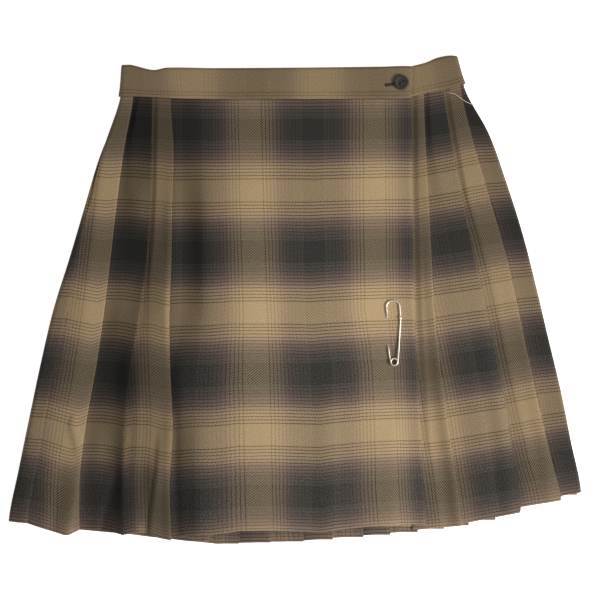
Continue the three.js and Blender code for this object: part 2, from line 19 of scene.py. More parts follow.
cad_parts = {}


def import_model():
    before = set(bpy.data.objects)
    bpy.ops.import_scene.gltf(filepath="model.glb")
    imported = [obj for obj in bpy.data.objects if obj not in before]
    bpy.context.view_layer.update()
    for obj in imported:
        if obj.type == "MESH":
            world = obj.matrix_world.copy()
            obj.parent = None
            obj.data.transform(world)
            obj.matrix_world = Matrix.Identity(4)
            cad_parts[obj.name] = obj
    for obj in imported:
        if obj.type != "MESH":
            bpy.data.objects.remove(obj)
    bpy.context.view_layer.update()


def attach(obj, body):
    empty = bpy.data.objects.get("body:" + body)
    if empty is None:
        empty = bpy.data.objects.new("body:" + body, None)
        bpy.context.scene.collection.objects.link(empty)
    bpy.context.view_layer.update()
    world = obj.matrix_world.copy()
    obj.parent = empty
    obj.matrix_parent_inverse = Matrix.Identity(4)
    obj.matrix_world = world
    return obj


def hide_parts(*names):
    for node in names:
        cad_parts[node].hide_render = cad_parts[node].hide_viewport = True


MM = 0.001
ROOT = "root"
CLOTH_SLOT = "plaid_cloth"
CLOTH_MAP = "cloth"
WOVEN_MIX = 1.5

# Layers of the laid cloth, as in the part
WALL = 1.0
GAP = 0.3
LAYER = 1.3
CLOTH_THICKNESS = 0.7
PLEAT_CLOTH = 65.6
PLEAT_LEAD = 1.2
PLEAT_RISE = 6.0
SHALLOWEST_PLEAT = 3.4
TUCKED_HEM_LIFT = 0.4
FOLD_RADIUS = LAYER / 2
UNDER_Z = 4.4
APRON_Z = 8.2
RIGHT_HEIGHT = 7.5
LEFT_HEIGHT = 11.3
PRESSED_DOWN_TO = 0.05
RUNS_OVER_HEM = -225.0

# The cloth: half a sett across and down, and where the pattern starts
HALF_SETT_ACROSS = 64.0
HALF_SETT_DOWN = 65.8
FIRST_DARK_ROW = 34.3
CLOTH_LENGTH = 467.0
PAST_COLUMN = 10.9

Run = Sequence[tuple[float, float]]
Line = Sequence[float]

LEFT_SIDE: Line = (-188.6, -207.8, -224.6, -241.5, -259.4, -272.9, -284.9, -296.8, -308.0)
RIGHT_SIDE: Line = (181.5, 209.0, 228.7, 245.9, 259.9, 272.8, 285.9, 296.8, 307.9)
APRON_START: Line = (-133.8, -130.5, -132.0, -132.7, -134.8, -133.8, -131.3, -134.6, -133.0)
APRON_EDGE: Line = (124.7, 125.3, 125.8, 126.7, 128.2, 130.7, 134.1, 137.2, 140.3)

FRONT_SEAM: Run = (
    (-188.5, 220), (-173, 220), (-134.5, 218), (-86, 217), (5.5, 217), (125, 218),
)
RIGHT_SEAM: Run = (
    (-127, 212), (60, 213), (112, 217), (126, 220), (145, 224.5), (159, 227), (182, 233.5),
)
BACK_SEAM: Run = (
    (-188.5, 220), (-130, 211), (0, 205), (110, 211), (150, 222), (182, 233.5),
)
LEFT_HEM: Run = (
    (-308, -237.1), (-287.6, -239.1), (-276.8, -242.8), (-260, -248), (-246, -252), (-242, -251.6),
    (-230, -246), (-209.6, -245.9), (-196, -248.4), (-183.5, -252), (-181, -251.4),
    (-174.7, -249.3), (-158.6, -249.8), (-145.1, -255.2), (-131.7, -257.4),
)
BACK_HEM: Run = (
    (-308, -237), (-252.5, -245), (-188, -250.5), (-123.5, -258), (-84, -262), (-43, -260.5),
    (5.5, -259), (37.5, -256), (70, -253.5), (102, -250.5), (129, -247.5), (156, -243.5),
    (183, -240.5), (220.5, -228.5), (263.5, -214.5), (308, -206),
)


def at_level(line: Line, t: float) -> float:
    """Reads a line that is given at even levels.

    Args:
        line: Values from the waist seam to the hem.
        t: Level from 0 to 1.

    Returns:
        The value of a smooth curve through them at that level.
    """
    place = t * (len(line) - 1)
    i = min(int(place), len(line) - 2)
    w = place - i
    before, a, b, after = line[max(i - 1, 0)], line[i], line[i + 1], line[min(i + 2, len(line) - 1)]
    v0, v1 = (b - before) / 2, (after - a) / 2
    return (2 * a - 2 * b + v0 + v1) * w**3 + (3 * b - 3 * a - 2 * v0 - v1) * w**2 + v0 * w + a


def along(run: Run, x: float) -> float:
    """Height y of a run of x and y at x."""
    return float(np.interp(x, [p[0] for p in run], [p[1] for p in run]))


def mix(a: float, b: float, share: float) -> float:
    """Value a share of the way from a to b."""
    return a + (b - a) * share


def ease(low: float, high: float, value: float) -> float:
    """Smooth step from 0 at low to 1 at high."""
    share = min(max((value - low) / (high - low), 0.0), 1.0)
    return share * share * (3 - 2 * share)


def pressed(depth: float, middle: float, t: float) -> float:
    """Depth of a layer, which the waist seam presses half as deep round its middle."""
    return mix(middle + 0.5 * (depth - LAYER), depth, ease(-0.01, PRESSED_DOWN_TO, t))


def smooth_path(points: Sequence[Sequence[float]], step: float) -> np.ndarray:
    """Puts close points on a smooth curve through a few.

    Args:
        points: Points of any dimension, in order.
        step: Greatest distance between the new points.

    Returns:
        The new points, a row for each.
    """
    given = np.array(points, dtype=float)
    chord = np.maximum(np.linalg.norm(np.diff(given, axis=0), axis=1), 1e-6)
    slope = np.zeros_like(given)
    slope[1:-1] = (given[2:] - given[:-2]) / (chord[1:] + chord[:-1])[:, None]
    slope[0] = (given[1] - given[0]) / chord[0]
    slope[-1] = (given[-1] - given[-2]) / chord[-1]
    made = [given[:1]]
    for i, length in enumerate(chord):
        w = np.linspace(0, 1, max(int(math.ceil(length / step)), 1) + 1)[1:, None]
        made.append(
            (2 * w**3 - 3 * w**2 + 1) * given[i] + (w**3 - 2 * w**2 + w) * length * slope[i]
            + (3 * w**2 - 2 * w**3) * given[i + 1] + (w**3 - w**2) * length * slope[i + 1]
        )
    return np.concatenate(made)


def linked(name: str, data: bpy.types.ID) -> bpy.types.Object:
    """Puts a mesh, curve, lamp or camera into the scene as an object.

    Args:
        name: Name of the object.
        data: What it shows.

    Returns:
        The new object, at the origin.
    """
    made = bpy.data.objects.new(name, data)
    bpy.context.scene.collection.objects.link(made)
    return made


def shaped(name: str, form: bmesh.types.BMesh) -> bpy.types.Object:
    """Makes an object of a bmesh, which it frees.

    Args:
        name: Name of the object and its mesh.
        form: The bmesh.

    Returns:
        The new object.
    """
    mesh = bpy.data.meshes.new(name)
    form.to_mesh(mesh)
    form.free()
    return linked(name, mesh)


class Spot(NamedTuple):
    """A point of the cloth's middle layer at one level."""

    run: float
    depth: float
    cloth: float
    hem: float


@dataclass(frozen=True)
class Crease:
    """A soft ridge, or a trough if its height is below 0, along a short line on the front."""

    path: Run
    height: float
    left: float
    right: float
    fade: float = 0.35
    past_end: float = 0.3

    def lift(self, x: np.ndarray, y: np.ndarray) -> np.ndarray:
        """Works out the crease's own height.

        Args:
            x: Places across the skirt.
            y: Places up the skirt.

        Returns:
            The rise at each place.
        """
        ends_y = np.array([p[1] for p in self.path])
        middle = np.interp(-y, -ends_y, [p[0] for p in self.path])
        away = x - middle
        width = np.where(away < 0, self.left, self.right)
        top, bottom = ends_y.max(), ends_y.min()
        fade = self.fade * (top - bottom)
        inside = np.clip((top - y) / fade, 0, 1)
        if bottom >= RUNS_OVER_HEM:
            inside = inside * np.clip((y - bottom + self.past_end * fade) / fade, 0, 1)
        inside = inside * inside * (3 - 2 * inside)
        return self.height * inside * np.exp(-((away / width) ** 2))


@dataclass(frozen=True)
class Relief:
    """Creases and soft swells of the whole front, shared by the pieces that lie there."""

    creases: tuple[Crease, ...] = (
        # Pleat next to the apron: crest at its fold, valley along its middle
        Crease(((-136.4, -100), (-134.6, -140), (-137, -180), (-134.5, -246)), 2.4, 6, 6),
        Crease(((-148.5, -128), (-151.3, -180.5), (-158, -226.7), (-160.2, -262)), -3.2, 7, 3.4),
        Crease(((-166, -60), (-170, -150), (-174, -262)), 1.9, 7, 5),
        # Dark pleat: slanting crease near the hem
        Crease(((-187, -170), (-191.4, -183.7), (-205.9, -236.4), (-208, -262)), -3.2, 4, 10),
        Crease(((-176, -80), (-183, -190), (-184, -262)), 1.6, 8, 6),
        # Pale pleat: its crest leaves the fold edge near the hem
        Crease(((-236, -118), (-239.7, -134), (-231, -166)), 2.6, 3, 8),
        Crease(((-230.5, -160), (-236.5, -215), (-243.3, -246.7), (-244, -262)), 3.4, 10, 5),
        Crease(((-247, -150), (-254, -200), (-262, -262)), -1.5, 7, 7),
        # First pleat at the side
        Crease(((-276, -60), (-288, -200), (-296, -262)), 1.5, 7, 7),
        # Apron: valley beside the first ridge, ridges that grow towards the hem
        Crease(((-121, -60), (-122, -180), (-118, -262)), 2.3, 5, 8),
        Crease(((-102, -95), (-103, -180), (-104, -262)), 2.4, 12, 16),
        Crease(((-58, 215), (-56, 0), (-64, -262)), 2.8, 34, 60),
        Crease(((-62, -150), (-66, -200), (-68, -262)), -0.8, 16, 18),
        Crease(((32, -60), (34, -150), (36, -262)), 2.0, 13, 12),
        Crease(((66, -90), (70, -160), (74, -262)), -0.7, 14, 14),
        Crease(((108, -95), (106, -170), (104, -262)), 1.9, 16, 14),
        Crease(((-70, 190), (-60, 60), (-66, -60)), 0.7, 30, 34),
        Crease(((60, 205), (66, 90), (52, -30)), 0.6, 26, 30),
        # Strip right of the apron: it rises to its fold, and the next pleat falls away
        Crease(((143, 110), (150, -2), (158.5, -93), (168.5, -171), (178, -262)), 3.0, 9, 5.5),
        # Right pleats: swells along their folds
        Crease(((190, 40), (208, -60), (222, -140), (236, -262)), 2.0, 9, 7),
        Crease(((205, -60), (214, -150), (220, -262)), -0.9, 8, 9),
        Crease(((222, 60), (250, -60), (268, -160), (280, -262)), 1.8, 9, 7),
        Crease(((250, -90), (258, -160), (263, -262)), -0.7, 8, 8),
    )
    floor: float = 4.0

    def raised(self, x: np.ndarray, y: np.ndarray, z: np.ndarray, top: float) -> np.ndarray:
        """Heights with the creases added, in full on the top layer and less on those below.

        Args:
            x: Places across the skirt.
            y: Places up the skirt.
            z: Heights without creases.
            top: Height of the top layer there.

        Returns:
            The new heights.
        """
        rise = sum(crease.lift(x, y) for crease in self.creases)
        share = np.clip((z - self.floor) / (top - self.floor), 0, 1)
        return z + rise * share


@dataclass(frozen=True)
class Side:
    """A side of the folded tube, whose cloth goes from the front round to the back."""

    line: Line
    height: float
    direction: int
    front_seam_depth: float
    back_seam_depth: float = 0.5

    @property
    def radius(self) -> float:
        """Radius of the turn."""
        return self.height / 2

    @property
    def quarter(self) -> float:
        """Run from the outermost point to where the turn ends."""
        return math.pi * self.radius / 2

    def front(self, x: float, t: float) -> float:
        """Run of a place x on the front."""
        inward = (x - at_level(self.line, t)) * self.direction
        return self.direction * (inward - self.radius + self.quarter)

    def back(self, x: float, t: float) -> float:
        """Run of a place x on the back."""
        return -self.front(x, t)

    def place(self, run: float, depth: float, t: float) -> tuple[float, float]:
        """Where a point of the cloth lies.

        Args:
            run: Run along the tube.
            depth: How far in it lies from the outer face.
            t: Level.

        Returns:
            Its x and z.
        """
        edge = at_level(self.line, t)
        onward = self.direction * run
        front_share = ease(-self.quarter, self.quarter, onward)
        middle = mix(self.back_seam_depth, self.front_seam_depth, front_share)
        depth = pressed(depth, middle, t)
        if abs(onward) > self.quarter:
            inward = self.radius + abs(onward) - self.quarter
            z = self.height - WALL / 2 - depth if onward > 0 else WALL / 2 + depth
            return edge + self.direction * inward, z
        angle = onward / self.radius
        reach = self.radius - WALL / 2 - depth
        x = edge + self.direction * (self.radius - reach * math.cos(angle))
        return x, self.radius + reach * math.sin(angle)


LEFT = Side(LEFT_SIDE, LEFT_HEIGHT, 1, 2.3)
RIGHT = Side(RIGHT_SIDE, RIGHT_HEIGHT, -1, 0.8)


@dataclass(frozen=True)
class Fold:
    """A knife pleat at one level: the fold before it, its own fold edge and its cloth."""

    start: float
    edge: float
    overlap: float
    cloth: float
    shown_hem: Callable[[float], float]
    hidden_hem: float
    edge_hem: float
    hollow: float = 0.0
    neat: bool = False

    def tucked_hem(self, run: float) -> float:
        """Hem height of the hidden layers, which a neat pleat keeps behind its shown hem.

        Args:
            run: Place across them.

        Returns:
            The height.
        """
        if not self.neat:
            return self.edge_hem
        return max(self.edge_hem, self.shown_hem(run) + TUCKED_HEM_LIFT)


def overlap(shown: float, share: float = 1.0) -> float:
    """Works out the width behind a fold edge, as far as three layers allow.

    Args:
        shown: Width of cloth that the pleat shows.
        share: How much of the shown width it may lie behind.

    Returns:
        What its cloth leaves over, or what there is room for.
    """
    spare = (PLEAT_CLOTH - shown) / 2
    room = share * (shown - PLEAT_RISE - PLEAT_LEAD - 1)
    return max(SHALLOWEST_PLEAT, min(spare, room))


@dataclass(frozen=True)
class PleatPath:
    """Lays the points of a run of knife pleats, as many at every level."""

    shown_points: int = 34
    turn_points: int = 6
    hidden_points: int = 4
    turn_density: float = 3.0
    turn_reach: float = 9.0

    def spaced(self, low: float, high: float) -> np.ndarray:
        """Spreads runs over a shown panel, closer together round a side.

        Args:
            low: Run where the panel starts.
            high: Run where it ends.

        Returns:
            The runs in order.
        """
        fine = np.linspace(low, high, 90)
        density = 1 + self.turn_density * np.exp(-((fine / self.turn_reach) ** 2))
        total = np.concatenate(([0], np.cumsum((density[1:] + density[:-1]) / 2)))
        return np.interp(np.linspace(0, total[-1], self.shown_points), total, fine)

    def spots(self, begin: float, folds: Sequence[Fold], end: float) -> list[Spot]:
        """Lays the whole run at one level.

        Args:
            begin: Run where the cloth starts, under the first pleat.
            folds: The pleats in order.
            end: Run where the cloth ends, under the last pleat.

        Returns:
            The points in order along the cloth.
        """
        first = folds[0]
        spots = self.hidden(begin, first.start + PLEAT_LEAD, first, first.hidden_hem, None)
        for i, fold in enumerate(folds):
            spots += self.panel(fold)
            spots += self.tuck(fold)
            after = folds[i + 1] if i + 1 < len(folds) else None
            stop = fold.edge + PLEAT_LEAD if after else end
            low = fold.edge - fold.overlap + FOLD_RADIUS
            spots += self.hidden(low, stop, after, fold.tucked_hem(low), spots[-1].cloth)
        return spots

    def hidden(
        self, low: float, high: float, after: Fold | None, hem: float, cloth: float | None
    ) -> list[Spot]:
        """Lowest layer, from the inner turn to where the next panel rises.

        Args:
            low: Run where it starts.
            high: Run where it ends.
            after: The pleat that it leads to, if any.
            hem: Height of its hem.
            cloth: Place along the cloth where it starts, if known.

        Returns:
            Its points.
        """
        if after:
            last = after.cloth - (after.edge - high)
        else:
            last = cloth + high - low
        start = last - (high - low) if cloth is None else cloth
        steps = np.linspace(0, 1, self.hidden_points + 2)[1:-1]
        if cloth is None:
            steps = np.linspace(0, 1, self.hidden_points + 1)[:-1]
        elif after is None:
            steps = np.linspace(0, 1, self.hidden_points + 1)[1:]
        return [
            Spot(mix(low, high, w), 2 * LAYER, mix(start, last, w), hem) for w in steps
        ]

    def panel(self, fold: Fold) -> list[Spot]:
        """Lays the shown panel, from under the fold before it to its own fold edge.

        Args:
            fold: The pleat.

        Returns:
            Its points.
        """
        low = fold.start + PLEAT_LEAD
        high = fold.edge - FOLD_RADIUS
        single = max(fold.edge - fold.overlap - low, PLEAT_RISE)
        rise = max(PLEAT_RISE, 0.8 * single)
        made = []
        for run in self.spaced(low, high):
            up = ease(0, rise, run - low)
            across = min(max((run - low) / single, 0), 1)
            sag = fold.hollow * math.sin(math.pi * across) ** 2
            hem = fold.shown_hem(run)
            made.append(Spot(run, 2 * LAYER * (1 - up) + sag, fold.cloth - (fold.edge - run), hem))
        return made

    def tuck(self, fold: Fold) -> list[Spot]:
        """Lays the round fold edge, the layer that returns under it and the inner turn.

        Args:
            fold: The pleat.

        Returns:
            Its points.
        """
        inner = fold.edge - fold.overlap + FOLD_RADIUS
        outer = fold.edge - FOLD_RADIUS
        made = self.half_turn(Spot(outer, 0.0, fold.cloth - FOLD_RADIUS, fold.edge_hem), 1)
        cloth = made[-1].cloth
        for w in np.linspace(0, 1, self.hidden_points + 1)[1:]:
            run = mix(outer, inner, w)
            made.append(Spot(run, LAYER, cloth + outer - run, fold.tucked_hem(run)))
        return made + self.half_turn(made[-1]._replace(run=inner, hem=fold.tucked_hem(inner)), -1)

    def half_turn(self, start: Spot, way: int) -> list[Spot]:
        """Lays a round turn to the layer below.

        Args:
            start: The point before it.
            way: 1 if the cloth turns ahead of that point, or -1.

        Returns:
            Its points.
        """
        angles = [math.pi * k / self.turn_points for k in range(1, self.turn_points + 1)]
        return [
            Spot(start.run + way * FOLD_RADIUS * math.sin(angle),
                 start.depth + FOLD_RADIUS * (1 - math.cos(angle)),
                 start.cloth + FOLD_RADIUS * angle, start.hem)
            for angle in angles
        ]


def cloth_shell(name: str, grid: np.ndarray) -> bpy.types.Object:
    """Moves an operator's grid to these points and gives it the cloth's map and wall.

    Args:
        name: Name of the piece.
        grid: Rows and columns of x, y, z and the cloth's own two measures, in millimetres.

    Returns:
        The new object, in metres, at the origin.
    """
    rows, columns = grid.shape[:2]
    shell = bmesh.new()
    bmesh.ops.create_grid(shell, x_segments=columns - 1, y_segments=rows - 1, size=1)
    made = shaped(name, shell)
    mesh = made.data
    flat = grid.reshape(-1, 5) * MM
    mesh.vertices.foreach_set("co", np.ascontiguousarray(flat[:, :3]).ravel())
    corners = np.empty(len(mesh.loops), dtype=np.int32)
    mesh.loops.foreach_get("vertex_index", corners)
    cloth_map = mesh.uv_layers.new(name=CLOTH_MAP)
    cloth_map.uv.foreach_set("vector", flat[corners, 3:].ravel())
    mesh.shade_smooth()
    mesh.update()
    wall = made.modifiers.new("wall", "SOLIDIFY")
    wall.thickness = CLOTH_THICKNESS * MM
    wall.offset = 0
    wall.use_even_offset = False
    return made


@dataclass
class ClothPanel:
    """A sheet of the skirt's body, from its hem up into the waistband."""

    name: str
    rows: int = 36
    rows_near_seam: int = 4
    near_seam: float = 0.06
    into_band: float = 3.0
    top: float = 0.0
    seam_slack: float = 0.0
    slack_reach: float = 60.0

    def spots(self, t: float) -> list[Spot]:
        """The cloth's points at a level, in order along the cloth."""
        raise NotImplementedError

    def place(self, run: float, depth: float, t: float) -> tuple[float, float]:
        """Where a point of the cloth lies, as x and z."""
        raise NotImplementedError

    def seam_at(self, spot: Spot, x: float) -> float:
        """Height of the waist seam at a point."""
        raise NotImplementedError

    def levels(self) -> list[float]:
        """Levels from 0 to 1, with more of them next to the waist seam."""
        close = [self.near_seam * k / self.rows_near_seam for k in range(self.rows_near_seam)]
        return close + [mix(self.near_seam, 1.0, k / self.rows) for k in range(self.rows + 1)]

    def grid(self) -> np.ndarray:
        """Lays out x, y, z and the cloth's own two measures, hem first.

        Returns:
            An array of rows, columns and five numbers, in millimetres.
        """
        top = self.spots(0.0)
        seams = [self.seam_at(spot, self.place(spot.run, spot.depth, 0.0)[0]) for spot in top]
        hems = [spot.hem for spot in self.spots(1.0)]
        rows = []
        for t in reversed(self.levels()):
            row = []
            for j, spot in enumerate(self.spots(t)):
                x, z = self.place(spot.run, spot.depth, t)
                y = mix(seams[j], hems[j], t) + (self.into_band if t == 0 else 0)
                down = t * CLOTH_LENGTH - (self.into_band if t == 0 else 0)
                row.append((x, y, z, spot.cloth, down))
            rows.append(row)
        return np.array(rows)

    def build(self, relief: Relief) -> bpy.types.Object:
        """Makes the piece.

        Args:
            relief: Creases of the front, for a panel that has its top layer there.

        Returns:
            The new object.
        """
        grid = self.grid()
        if self.top:
            grid[..., 2] = relief.raised(grid[..., 0], grid[..., 1], grid[..., 2], self.top)
        grid[..., 4] -= self.seam_slack * np.exp(-grid[..., 4] / self.slack_reach)
        return cloth_shell(self.name, grid)


@dataclass(frozen=True)
class Hue:
    """A dyed yarn's colour as the eye sees it, from 0 to 255."""

    red: float
    green: float
    blue: float

    def woven(self) -> tuple[float, float, float, float]:
        """The colour part of the way to light, which is how fine yarns mix in the eye."""
        return tuple((c / 255) ** WOVEN_MIX for c in (self.red, self.green, self.blue)) + (1.0,)

    def linear(self) -> tuple[float, float, float, float]:
        """The colour as light, for a shader's own socket."""
        return tuple((c / 255) ** 2.2 for c in (self.red, self.green, self.blue)) + (1.0,)


class Wires:
    """Short ways to add and join the nodes of one material."""

    def __init__(self, name: str) -> None:
        """Starts a material with its shader.

        Args:
            name: Name of the material.
        """
        self.material = bpy.data.materials.new(name)
        self.material.use_nodes = True
        self.tree = self.material.node_tree
        self.shader = self.tree.nodes["Principled BSDF"]

    def node(self, kind: str, **settings: object) -> bpy.types.Node:
        """Adds a node.

        Args:
            kind: Blender's name of its type.
            settings: Its own settings.

        Returns:
            The node.
        """
        made = self.tree.nodes.new(kind)
        for key, value in settings.items():
            setattr(made, key, value)
        return made

    def join(self, source: object, target: bpy.types.NodeSocket) -> None:
        """Joins a socket to another, or sets the value of the other.

        Args:
            source: The socket or value.
            target: The socket that takes it.
        """
        if isinstance(source, bpy.types.NodeSocket):
            self.tree.links.new(source, target)
        else:
            target.default_value = source

    def math(self, operation: str, *values: object, clamp: bool = False) -> bpy.types.NodeSocket:
        """Adds a math node.

        Args:
            operation: Blender's name of the operation.
            values: Its inputs, sockets or numbers.
            clamp: Whether the result stays from 0 to 1.

        Returns:
            Its output.
        """
        made = self.node("ShaderNodeMath", operation=operation, use_clamp=clamp)
        for value, socket in zip(values, made.inputs):
            self.join(value, socket)
        return made.outputs[0]

    def vector(self, operation: str, a: object, b: object) -> bpy.types.NodeSocket:
        """Adds a vector math node.

        Args:
            operation: Blender's name of the operation.
            a: First input, a socket or three numbers.
            b: Second input.

        Returns:
            Its output, a number for a dot product.
        """
        made = self.node("ShaderNodeVectorMath", operation=operation)
        self.join(a, made.inputs[0])
        self.join(b, made.inputs[1])
        return made.outputs["Value" if operation == "DOT_PRODUCT" else "Vector"]

    def split(self, place: bpy.types.NodeSocket) -> bpy.types.NodeOutputs:
        """Adds a node that gives the parts of a place.

        Args:
            place: Socket of the place.

        Returns:
            Sockets of its x, y and z.
        """
        made = self.node("ShaderNodeSeparateXYZ")
        self.join(place, made.inputs[0])
        return made.outputs

    def centred(self, value: object) -> bpy.types.NodeSocket:
        """Part of a turn, from -0.5 to 0.5."""
        return self.math("SUBTRACT", self.math("FRACT", value), 0.5)

    def scaled(self, value: object, factor: float, shift: float) -> bpy.types.NodeSocket:
        """Value times a factor, moved on by a shift."""
        return self.math("MULTIPLY_ADD", value, factor, shift)

    def remap(self, value: object, low: float, high: float) -> bpy.types.NodeSocket:
        """Share from 0 to 1 of a value between low and high, kept within them."""
        lifted = self.math("SUBTRACT", value, low)
        return self.math("DIVIDE", lifted, high - low, clamp=True)

    def blend(
        self, share: object, a: object, b: object, kind: str = "MIX"
    ) -> bpy.types.NodeSocket:
        """Mixes two colours.

        Args:
            share: How much of the second, a socket or a number.
            a: First colour.
            b: Second colour.
            kind: Blender's name of the way of mixing.

        Returns:
            The mixed colour.
        """
        made = self.node("ShaderNodeMix", data_type="RGBA", blend_type=kind)
        self.join(share, made.inputs["Factor"])
        colours = [s for s in made.inputs if s.type == "RGBA"]
        self.join(a, colours[0])
        self.join(b, colours[1])
        return next(s for s in made.outputs if s.type == "RGBA")

    def ramp(
        self, value: object, stops: Sequence[tuple[float, Sequence[float]]]
    ) -> bpy.types.NodeSocket:
        """Colours along a value.

        Args:
            value: A socket from 0 to 1.
            stops: Places and colours.

        Returns:
            The colour.
        """
        made = self.node("ShaderNodeValToRGB")
        ramp = made.color_ramp
        while len(ramp.elements) < len(stops):
            ramp.elements.new(0.5)
        for element, (place, colour) in zip(ramp.elements, stops):
            element.position = place
            element.color = colour
        self.join(value, made.inputs[0])
        return made.outputs[0]

    def noise(
        self, place: object, scale: float, detail: float, rough: float, output: str = "Fac"
    ) -> bpy.types.NodeSocket:
        """Adds noise from 0 to 1.

        Args:
            place: Socket of the place.
            scale: Cells in a metre.
            detail: Number of finer layers.
            rough: Share of each finer layer.
            output: Fac for a number or Color for three.

        Returns:
            The output.
        """
        made = self.node("ShaderNodeTexNoise")
        self.join(place, made.inputs["Vector"])
        made.inputs["Scale"].default_value = scale
        made.inputs["Detail"].default_value = detail
        made.inputs["Roughness"].default_value = rough
        return made.outputs[output]

    def bump(self, height: object, strength: float, distance: float) -> None:
        """Gives the shader a relief from a height.

        Args:
            height: Socket of the height.
            strength: Share of the relief from 0 to 1.
            distance: Height of 1, in metres.
        """
        made = self.node("ShaderNodeBump")
        made.inputs["Strength"].default_value = strength
        made.inputs["Distance"].default_value = distance
        self.join(height, made.inputs["Height"])
        self.join(made.outputs["Normal"], self.shader.inputs["Normal"])

    def set(self, **sockets: object) -> None:
        """Sets the shader's own sockets, whose names have spaces for underscores."""
        for name, value in sockets.items():
            self.shader.inputs[name.replace("_", " ")].default_value = value


@dataclass(frozen=True)
class Yarns:
    """One set of yarns: its ground from the middle of a tan stripe, in units, and its lines."""

    ground: tuple[tuple[float, Hue], ...]
    first_line: float
    line_pitch: float
    line_half: float


class Patch(NamedTuple):
    """A soft light or dark spot of the cloth, in millimetres, beside a crease.

    It stands for shade that the low relief doesn't cast, and was set against the photo.
    """

    across: float
    down: float
    wide: float
    long: float
    tone: float


